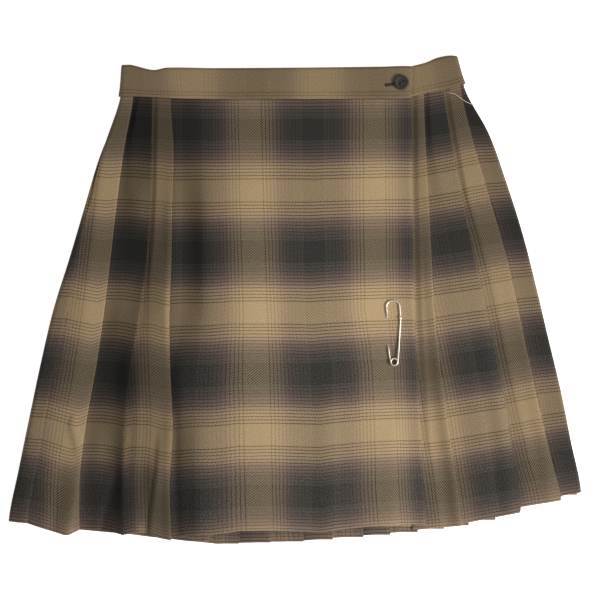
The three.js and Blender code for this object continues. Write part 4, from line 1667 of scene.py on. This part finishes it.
@dataclass
class Waistband:
    """One strip folded over the waist, from the hidden end round the body to the button end."""

    name: str = "waistband_cloth"
    step: float = 2.2
    back_z: float = 1.0
    right_z: float = 6.2
    over_z: float = 8.5
    wall: float = 2.0
    tan_row: float = 0.62
    height: float = 31.5
    lowest: float = 0.4
    under: tuple[tuple[float, ...], ...] = (
        (-116, 212, -116, 241), (60, 213.3, 58, 242.5), (112, 217.3, 106, 246),
        (126, 220.3, 122, 250), (145, 224.8, 140, 254.5), (159, 227.3, 152, 259.5),
        (172, 231, 164, 262),
    )
    right_side: tuple[float, ...] = (182, 233.8, 174.5, 262)
    back: tuple[tuple[float, ...], ...] = (
        (172, 231, 164, 260), (148, 222, 140, 251), (110, 211.3, 106, 240.5),
        (0, 205.3, 0, 234.5), (-130, 211.3, -127, 240.5), (-178, 218.7, -175, 248),
    )
    left_side: tuple[float, ...] = (-188.5, 220.3, -186.5, 252)
    over: tuple[tuple[float, ...], ...] = (
        (-178, 220.3, -176, 252), (-152, 219.2, -152, 246.5), (-134.5, 218.3, -137, 249),
        (-86, 217.3, -86, 248.5), (5.5, 217.3, 5.5, 249), (91.5, 217.8, 91.5, 250),
        (122, 218.3, 124.5, 250.5), (126.5, 221.5, 127.2, 247.5),
    )
    section: Run = (
        (-0.055, 1.25), (-0.05, 1.4), (-0.02, 1.52), (0.04, 1.45), (0.12, 1.15), (0.25, 0.85),
        (0.45, 0.68), (0.65, 0.66), (0.82, 0.7), (0.93, 0.66), (0.98, 0.42), (1.0, 0.0),
        (0.98, -0.42), (0.93, -0.62), (0.82, -0.66), (0.6, -0.66), (0.4, -0.72), (0.2, -0.95),
        (0.08, -1.2), (-0.02, -1.3), (-0.05, -1.2),
    )
    stripes: tuple[tuple[float, int], ...] = (
        (-109.7, 9), (-40.9, 10), (26.9, 11), (89.2, 12), (153.0, 13),
    )
    under_stripe_x: float = 126.0
    under_rise: tuple[float, float] = (112, 132)
    thin_end: float = 0.35
    thin_reach: float = 3.0

    def turn(self, row: tuple[float, ...], inward: int, high: float) -> list[Station]:
        """Lays stations round a side of the body, from the back up to the front.

        Args:
            row: The side's seam and top edges.
            inward: 1 if inward is +X, or -1.
            high: Height of the band's middle on the front.

        Returns:
            The stations.
        """
        middle, radius = (self.back_z + high) / 2, (high - self.back_z) / 2
        made = []
        for k in range(9):
            angle = -math.pi / 2 + math.pi * k / 8
            shift = inward * (radius + self.wall / 2 - radius * math.cos(angle))
            made.append(Station(row[0] + shift, row[1], row[2] + shift, row[3],
                                middle + radius * math.sin(angle)))
        return made

    def stations(self) -> tuple[np.ndarray, int]:
        """Lays close stations round the body.

        Returns:
            The stations, and the number of the first one on the button end.
        """
        first = [
            Station(*row, mix(UNDER_Z, self.right_z, ease(*self.under_rise, row[0])))
            for row in self.under
        ]
        first += list(reversed(self.turn(self.right_side, -1, self.right_z)))
        second = [Station(*row, self.back_z) for row in self.back]
        third = self.turn(self.left_side, 1, self.over_z)
        third += [Station(*row, self.over_z) for row in self.over]
        path = smooth_path(first + second + third, self.step)
        over = len(path) - 1 - np.argmax(path[::-1, 4] < self.over_z - 0.2)
        return path, int(over)

    def build(self) -> bpy.types.Object:
        """Makes the piece.

        Returns:
            The new object.
        """
        path, over = self.stations()
        middle = np.stack([(path[:, 0] + path[:, 2]) / 2, path[:, 4]], axis=1)
        heading = np.gradient(middle, axis=0)
        heading /= np.linalg.norm(heading, axis=1)[:, None]
        length = np.concatenate(([0], np.cumsum(np.linalg.norm(np.diff(middle, axis=0), axis=1))))
        cloth = self.cloth_along(path, length, over)
        edge_x = middle[:, 0]
        rows = []
        measure = self.tan_row * self.height
        last = None
        for share, out in self.section:
            at = np.clip(share, -0.06, 1)
            seam_y = path[:, 1]
            x = path[:, 0] + (path[:, 2] - path[:, 0]) * at
            y = seam_y + (path[:, 3] - seam_y) * at
            to_end = np.minimum(length[-1] - length, length)
            full = np.clip(to_end / self.thin_reach, 0, 1) ** 0.6
            thin = self.thin_end + (1 - self.thin_end) * full
            bulge = out * thin
            if last is not None:
                step = math.hypot((share - last[0]) * self.height, out - last[1])
                measure -= step
            last = (share, out)
            down = np.full_like(edge_x, measure + FIRST_DARK_ROW + HALF_SETT_DOWN)
            rows.append(np.stack([
                x - heading[:, 1] * bulge, y,
                np.maximum(path[:, 4] + heading[:, 0] * bulge, self.lowest), cloth, down,
            ], axis=1))
        return cloth_shell(self.name, np.array(rows))

    def cloth_along(self, path: np.ndarray, length: np.ndarray, over: int) -> np.ndarray:
        """Place along the cloth of every station, from where its stripes show.

        Args:
            path: The stations.
            length: Their distance along the band.
            over: Number of the first station on the button end.

        Returns:
            A measure for each station.
        """
        right_end = int(np.argmax(path[:, 0]))
        known_at = [float(np.interp(self.under_stripe_x, path[:right_end, 0], length[:right_end]))]
        known = [HALF_SETT_ACROSS]
        for x, number in self.stripes[:-1]:
            known_at.append(float(np.interp(x, path[over:, 0], length[over:])))
            known.append(number * HALF_SETT_ACROSS)
        known_at.append(known_at[-1] + self.stripes[-1][0] - self.stripes[-2][0])
        known.append(self.stripes[-1][1] * HALF_SETT_ACROSS)
        known_at.insert(0, known_at[0] - 6 * HALF_SETT_ACROSS)
        known.insert(0, -5 * HALF_SETT_ACROSS)
        return np.interp(length, known_at, known)


def tube(name: str, points: Sequence[Sequence[float]], radius: float, sides: int,
         step: float) -> bpy.types.Object:
    """Makes a round wire or thread along a smooth curve.

    Args:
        name: Name of the piece.
        points: Points of the curve, in millimetres.
        radius: Radius, in millimetres.
        sides: A quarter of the sides of its section.
        step: Distance between its rings, in millimetres.

    Returns:
        The new object, as a mesh at the origin.
    """
    line = bpy.data.curves.new(name, "CURVE")
    line.dimensions = "3D"
    line.bevel_depth = radius * MM
    line.bevel_resolution = sides
    line.use_fill_caps = True
    path = smooth_path(points, step) * MM
    spline = line.splines.new("POLY")
    spline.points.add(len(path) - 1)
    for point, place in zip(spline.points, path):
        point.co = (*place, 1.0)
    draft = linked(name + "_draft", line)
    depsgraph = bpy.context.evaluated_depsgraph_get()
    mesh = bpy.data.meshes.new_from_object(draft.evaluated_get(depsgraph))
    bpy.data.objects.remove(draft)
    bpy.data.curves.remove(line)
    mesh.name = name
    mesh.shade_smooth()
    return linked(name, mesh)


def joined(name: str, parts: Sequence[bpy.types.Object]) -> bpy.types.Object:
    """Makes one piece of several and removes them.

    Args:
        name: Name of the piece.
        parts: The pieces.

    Returns:
        The new object.
    """
    whole = bmesh.new()
    for part in parts:
        whole.from_mesh(part.data)
        bpy.data.objects.remove(part)
    made = shaped(name, whole)
    made.data.shade_smooth()
    return made


@dataclass
class Button:
    """Dished button with a raised rim and two sewing holes."""

    name: str = "button_dished"
    x: float = 114.0
    y: float = 233.1
    z: float = 9.8
    radius: float = 8.0
    high: float = 3.2
    holes_apart: float = 4.6
    hole_radius: float = 1.15
    slant: float = 0.62
    around: int = 72

    def profile(self) -> list[tuple[float, float]]:
        """Gives half a section of the button.

        Returns:
            Points from the underside's middle round the rim to the dish's middle.
        """
        r, h = self.radius, self.high
        return [
            (0, 0), (0.5 * r, 0), (0.72 * r, 0.02 * h), (0.86 * r, 0.14 * h), (0.95 * r, 0.3 * h),
            (r, 0.5 * h), (0.995 * r, 0.66 * h), (0.96 * r, 0.84 * h), (0.9 * r, 0.96 * h),
            (0.84 * r, h), (0.78 * r, 0.98 * h), (0.7 * r, 0.93 * h), (0.6 * r, 0.87 * h),
            (0.5 * r, 0.84 * h), (0.36 * r, 0.82 * h), (0.2 * r, 0.81 * h), (0, 0.81 * h),
        ]

    def holes(self) -> list[Vector]:
        """Places the two sewing holes.

        Returns:
            Their middles.
        """
        away = self.holes_apart / 2
        return [
            Vector((self.x + side * away * math.cos(self.slant),
                    self.y + side * away * math.sin(self.slant), self.z))
            for side in (-1, 1)
        ]

    def build(self) -> bpy.types.Object:
        """Makes the piece.

        Returns:
            The new object.
        """
        turned = bmesh.new()
        ring = [turned.verts.new((x * MM, 0, z * MM)) for x, z in self.profile()]
        edges = [turned.edges.new(pair) for pair in zip(ring, ring[1:])]
        bmesh.ops.spin(turned, geom=ring + edges, cent=(0, 0, 0), axis=(0, 0, 1),
                       angle=2 * math.pi, steps=self.around, use_merge=True)
        bmesh.ops.remove_doubles(turned, verts=turned.verts, dist=1e-6)
        bmesh.ops.recalc_face_normals(turned, faces=turned.faces)
        bmesh.ops.translate(turned, verts=turned.verts,
                            vec=Vector((self.x, self.y, self.z)) * MM)
        return self.drilled(shaped(self.name, turned))

    def drilled(self, blank: bpy.types.Object) -> bpy.types.Object:
        """Cuts both sewing holes through a blank.

        Args:
            blank: The turned button without holes.

        Returns:
            The same object with its new mesh.
        """
        drill = bmesh.new()
        for hole in self.holes():
            bmesh.ops.create_cone(
                drill, cap_ends=True, segments=24, radius1=self.hole_radius * MM,
                radius2=self.hole_radius * MM, depth=4 * self.high * MM,
                matrix=Matrix.Translation(hole * MM),
            )
        cutter = shaped("drill", drill)
        cut = blank.modifiers.new("holes", "BOOLEAN")
        cut.operation = "DIFFERENCE"
        cut.solver = "EXACT"
        cut.object = cutter
        soften = blank.modifiers.new("edges", "BEVEL")
        soften.width = 0.12 * MM
        soften.segments = 2
        soften.limit_method = "ANGLE"
        soften.angle_limit = math.radians(50)
        depsgraph = bpy.context.evaluated_depsgraph_get()
        finished = bpy.data.meshes.new_from_object(blank.evaluated_get(depsgraph))
        blank.modifiers.clear()
        blank.data = finished
        finished.shade_smooth()
        bpy.data.objects.remove(cutter)
        return blank


@dataclass
class KiltPin:
    """Wire pin through the apron: hoop, two arms and a coil, with a small sleeve at the catch."""

    name: str = "kilt_pin_wire"
    radius: float = 0.92
    over_z: float = 9.9
    under_z: float = 6.3
    arm_left_x: float = 99.0
    arm_left_top: float = -16.4
    dips_at: float = -17.6
    rises_at: float = -50.2
    arm_right_x: float = 113.1
    arm_right_top: float = -19.2
    hoop: tuple[float, float, float, float] = (105.2, -7.6, 7.1, 6.8)
    coil: tuple[float, float, float] = (106.4, -66.3, 3.7)
    dip: float = 5.5
    squareness: float = 0.86
    sleeve: tuple[float, float] = (1.45, 3.0)

    def route(self) -> list[tuple[float, float, float]]:
        """Lays the wire from the catch over the hoop, round the coil and back up.

        Returns:
            Its points.
        """
        x, y, wide, high = self.hoop
        over = self.over_z
        route = [(x - wide + 1.0, -15.4, over), (x - wide + 0.5, -12.4, over)]
        for k in range(17):
            angle = math.pi * (1 - k / 16)
            cos, sin = math.cos(angle), math.sin(angle)
            route.append((x + wide * math.copysign(abs(cos) ** self.squareness, cos),
                          y + high * abs(sin) ** self.squareness, over))
        route.append((self.arm_right_x, self.arm_right_top, over))
        route.append((self.arm_right_x - 1.0, self.arm_right_top - 18, over))
        route.append((self.arm_right_x - 2.0, self.arm_right_top - 36, over + 1.0))
        coil_x, coil_y, coil_radius = self.coil
        for k in range(25):
            share = k / 24
            angle = -3 * math.pi * share
            route.append((coil_x + coil_radius * math.cos(angle),
                          coil_y + coil_radius * math.sin(angle),
                          over + 2.1 * (1 - share)))
        left = self.arm_left_x
        route += [
            (left + 2.2, coil_y + 8, over), (left + 1.2, self.rises_at - 0.5, over - 0.3),
            (left + 0.6, self.rises_at + self.dip, self.under_z),
            (left + 0.2, self.dips_at - self.dip, self.under_z),
            (left - 0.1, self.dips_at, over - 0.5), (left - 0.2, self.arm_left_top, over),
        ]
        return route

    def build(self) -> bpy.types.Object:
        """Makes the piece.

        Returns:
            The new object.
        """
        wire = tube(self.name + "_arm", self.route(), self.radius, 4, 0.7)
        radius, length = self.sleeve
        sleeve = bmesh.new()
        made = bmesh.ops.create_cone(
            sleeve, cap_ends=True, segments=28, radius1=radius * MM, radius2=radius * MM,
            depth=length * MM,
        )
        bmesh.ops.rotate(sleeve, verts=made["verts"], cent=(0, 0, 0),
                         matrix=Matrix.Rotation(math.pi / 2, 3, "X"))
        rims = [e for e in sleeve.edges if len(e.link_faces) == 2
                and any(len(f.verts) > 4 for f in e.link_faces)]
        bmesh.ops.bevel(sleeve, geom=rims, offset=0.5 * MM, segments=3, profile=0.5,
                        affect="EDGES", material=-1)
        place = Vector((self.arm_right_x, self.arm_right_top,
                        self.over_z + radius - self.radius)) * MM
        bmesh.ops.translate(sleeve, verts=sleeve.verts, vec=place)
        return joined(self.name, [wire, shaped(self.name + "_sleeve", sleeve)])


@dataclass
class Sewing:
    """Buttonhole stitches, the thread through the button and one loose thread."""

    hole_left: float = 97.5
    hole_right: float = 116.5
    hole_y: float = 232.7
    hole_slope: float = 0.115
    face_z: float = 9.55
    stitch_reach: float = 1.7
    stitch_pitch: float = 0.62
    stitch_rise: float = 0.22
    stitch_sink: float = -0.12
    end_stitches: int = 7
    thread_radius: float = 0.24
    strand_radius: float = 0.22
    loose_radius: float = 0.3
    loose: tuple[tuple[float, float, float], ...] = (
        (163.5, 223.0, 7.4), (165.3, 222.3, 7.9), (171.3, 221.1, 8.3), (175.3, 218.4, 8.3),
        (180.6, 214.5, 8.0), (187.0, 211.2, 6.6), (191.2, 210.0, 5.4),
    )

    def buttonhole(self) -> bpy.types.Object:
        """Dark stitches side by side round the slit.

        Returns:
            The new object.
        """
        parts = []
        count = int((self.hole_right - self.hole_left) / self.stitch_pitch)
        for k in range(count):
            x = self.hole_left + self.stitch_pitch * (k + 0.5)
            uneven = 0.3 * math.sin(2.3 * k) + 0.2 * math.sin(5.1 * k + 1)
            for side in (-1, 1):
                middle = self.hole_y - self.hole_slope * (self.hole_right - x)
                inner = middle - side * 0.1
                outer = middle + side * (self.stitch_reach + uneven)
                parts.append(self.stitch(
                    f"stitch_{k}_{side + 1}", 0.15,
                    (x, inner), (x + 0.05, (inner + outer) / 2), (x + 0.1, outer),
                ))
        end_y = self.hole_y - self.hole_slope * (self.hole_right - self.hole_left)
        for k in range(self.end_stitches):
            turn = -math.pi / 2 - math.pi * k / (self.end_stitches - 1)
            parts.append(self.stitch(f"stitch_end_{k}", 0.1, *(
                (self.hole_left + away * math.cos(turn), end_y + away * math.sin(turn))
                for away in (0, 0.6 * self.stitch_reach, self.stitch_reach)
            )))
        return joined("buttonhole_stitches", parts)

    def stitch(self, name: str, sink: float, *places: tuple[float, float]) -> bpy.types.Object:
        """Makes one stitch, which rises from the slit and goes into the cloth again.

        Args:
            name: Name of the stitch.
            sink: How far its start lies under the cloth's face.
            places: Its three places x and y.

        Returns:
            The new object.
        """
        rises = (-sink, self.stitch_rise, self.stitch_sink)
        return tube(name, [(x, y, self.face_z + rise) for (x, y), rise in zip(places, rises)],
                    self.thread_radius, 1, 0.6)

    def button_thread(self, button: Button) -> bpy.types.Object:
        """Strands from hole to hole over the dish and down to the waistband.

        Args:
            button: The button that it holds.

        Returns:
            The new object.
        """
        first, second = button.holes()
        across = (second - first).normalized()
        beside = Vector((-across.y, across.x, 0))
        parts = []
        dish = button.z + 0.6 * button.high
        for k, shift in enumerate((-0.42, -0.14, 0.14, 0.42)):
            move = beside * shift
            a, b = first + move, second + move
            parts.append(tube(f"strand_{k}", [
                (a.x, a.y, self.face_z - 0.2), (a.x, a.y, dish - 0.1),
                (mix(a.x, b.x, 0.3), mix(a.y, b.y, 0.3), dish + 0.75 + 0.05 * k),
                (mix(a.x, b.x, 0.7), mix(a.y, b.y, 0.7), dish + 0.75 + 0.05 * k),
                (b.x, b.y, dish - 0.1), (b.x, b.y, self.face_z - 0.2),
            ], self.strand_radius, 1, 0.35))
        return joined("button_thread", parts)

    def loose_thread(self) -> bpy.types.Object:
        """The pale thread end that lies over the right pleats by the waistband."""
        return tube("loose_thread", self.loose, self.loose_radius, 1, 0.8)


@dataclass
class Studio:
    """Pale floor, soft light and a camera straight above."""

    view_width: float = 645.0
    camera_height: float = 3.2
    centre: tuple[float, float] = (5.4, 0.1)
    sensor: float = 36.0
    surround: float = 0.43
    key_power: float = 25.0
    key_place: tuple[float, float, float] = (1.2, -0.44, 0.95)
    key_size: float = 0.45
    key_colour: tuple[float, float, float] = (1.0, 0.985, 0.96)
    floor_glow: float = 0.75
    floor_half: float = 4.0
    floor_drop: float = 0.0002
    floor_pale: tuple[float, ...] = (0.93, 0.93, 0.93, 1)
    floor_white: tuple[float, ...] = (0.96, 0.96, 0.955, 1)

    def camera(self) -> None:
        """Sets the camera that looks straight down."""
        lens = bpy.data.cameras.new("camera")
        lens.sensor_width = self.sensor
        lens.lens = self.sensor * self.camera_height / (self.view_width * MM)
        made = linked("camera", lens)
        made.location = (self.centre[0] * MM, self.centre[1] * MM, self.camera_height)
        bpy.context.scene.camera = made

    def floor(self) -> bpy.types.Object:
        """Makes the pale floor.

        Returns:
            The new object.
        """
        plane = bmesh.new()
        bmesh.ops.create_grid(plane, x_segments=8, y_segments=8, size=self.floor_half)
        bmesh.ops.translate(plane, verts=plane.verts, vec=(0, 0, -self.floor_drop))
        made = shaped("floor", plane)
        wires = Wires("pale_floor")
        place = wires.node("ShaderNodeTexCoord").outputs["Object"]
        cloud = wires.noise(place, 3, 2, 0.5)
        colour = wires.blend(cloud, self.floor_pale, self.floor_white)
        wires.join(colour, wires.shader.inputs["Base Color"])
        wires.set(Roughness=0.9, Emission_Color=(1, 1, 1, 1),
                  Emission_Strength=self.floor_glow)
        made.data.materials.append(wires.material)
        return made

    def lights(self) -> None:
        """Adds the soft surround and the large lamp at the lower right."""
        scene = bpy.context.scene
        world = bpy.data.worlds.new("surround")
        world.use_nodes = True
        sky = world.node_tree.nodes["Background"]
        sky.inputs["Color"].default_value = (1.0, 0.995, 0.985, 1)
        sky.inputs["Strength"].default_value = self.surround
        scene.world = world
        lamp = bpy.data.lights.new("key", "AREA")
        lamp.shape = "SQUARE"
        lamp.size = self.key_size
        lamp.energy = self.key_power
        lamp.color = self.key_colour
        made = linked("key", lamp)
        made.location = self.key_place
        made.rotation_euler = (-Vector(self.key_place)).to_track_quat("-Z", "Y").to_euler()

    def build(self) -> None:
        """Builds floor, lights and camera."""
        self.floor()
        self.lights()
        self.camera()
        bpy.context.scene.view_settings.view_transform = "Standard"


def dress(
    piece: bpy.types.Object, material: bpy.types.Material, slot: str, *nodes: str
) -> bpy.types.Object:
    """Gives a piece its finish, its body and the nodes that it stands for.

    Args:
        piece: The piece.
        material: Its material.
        slot: The record's slot, which is not used.
        nodes: Nodes of the part that it replaces.

    Returns:
        The same piece.
    """
    piece.data.materials.clear()
    piece.data.materials.append(material)
    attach(piece, ROOT)
    if nodes:
        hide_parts(*nodes)
    logging.info("%s: %d faces", piece.name, len(piece.data.polygons))
    return piece


def main() -> None:
    """Builds the skirt's pieces in order, then the studio."""
    logging.basicConfig(level=logging.INFO, format="%(message)s")
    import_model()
    cloth = PlaidCloth().material()
    relief = Relief()

    back = dress(BackPleats().build(relief), cloth, CLOTH_SLOT, "back_pleats")
    right = dress(RightPleats().build(relief), cloth, CLOTH_SLOT, "right_pleats")
    left = dress(LeftPleats().build(relief), cloth, CLOTH_SLOT, "left_pleats")
    under = dress(UnderApron().build(relief), cloth, CLOTH_SLOT, "under_apron")
    apron = dress(OverApron().build(relief), cloth, CLOTH_SLOT, "over_apron")
    # The waistband's copy of the cloth: painted shade darkens it all over, and it is darker still
    # towards its under end; its patch is a dark line along the edge of the button end
    shaded_band_cloth = PlaidCloth("plaid_twill_band_shaded", 0.77, line_strength=0.42, tone_across=(
        (0.0, 0.92), (0.1, 0.92), (0.2, 1.0), (1.0, 1.0),
    ), patches=(Patch(806.5, 100, 1.3, 60, 0.5),)).material()
    band = dress(Waistband().build(), shaded_band_cloth, CLOTH_SLOT, "waistband")

    button = Button()
    plastic = ButtonPlastic().material()
    dress(button.build(), plastic, "button_plastic", "button")
    dress(KiltPin().build(), PinSteel().material(), "pin_wire", "kilt_pin")
    sewing = Sewing()
    dark = Thread(ThreadColour.DARK).material()
    dress(sewing.buttonhole(), dark, CLOTH_SLOT)
    dress(sewing.button_thread(button), dark, "button_plastic")
    dress(sewing.loose_thread(), Thread(ThreadColour.CREAM).material(), CLOTH_SLOT)

    Studio().build()


if __name__ == "__main__":
    main()
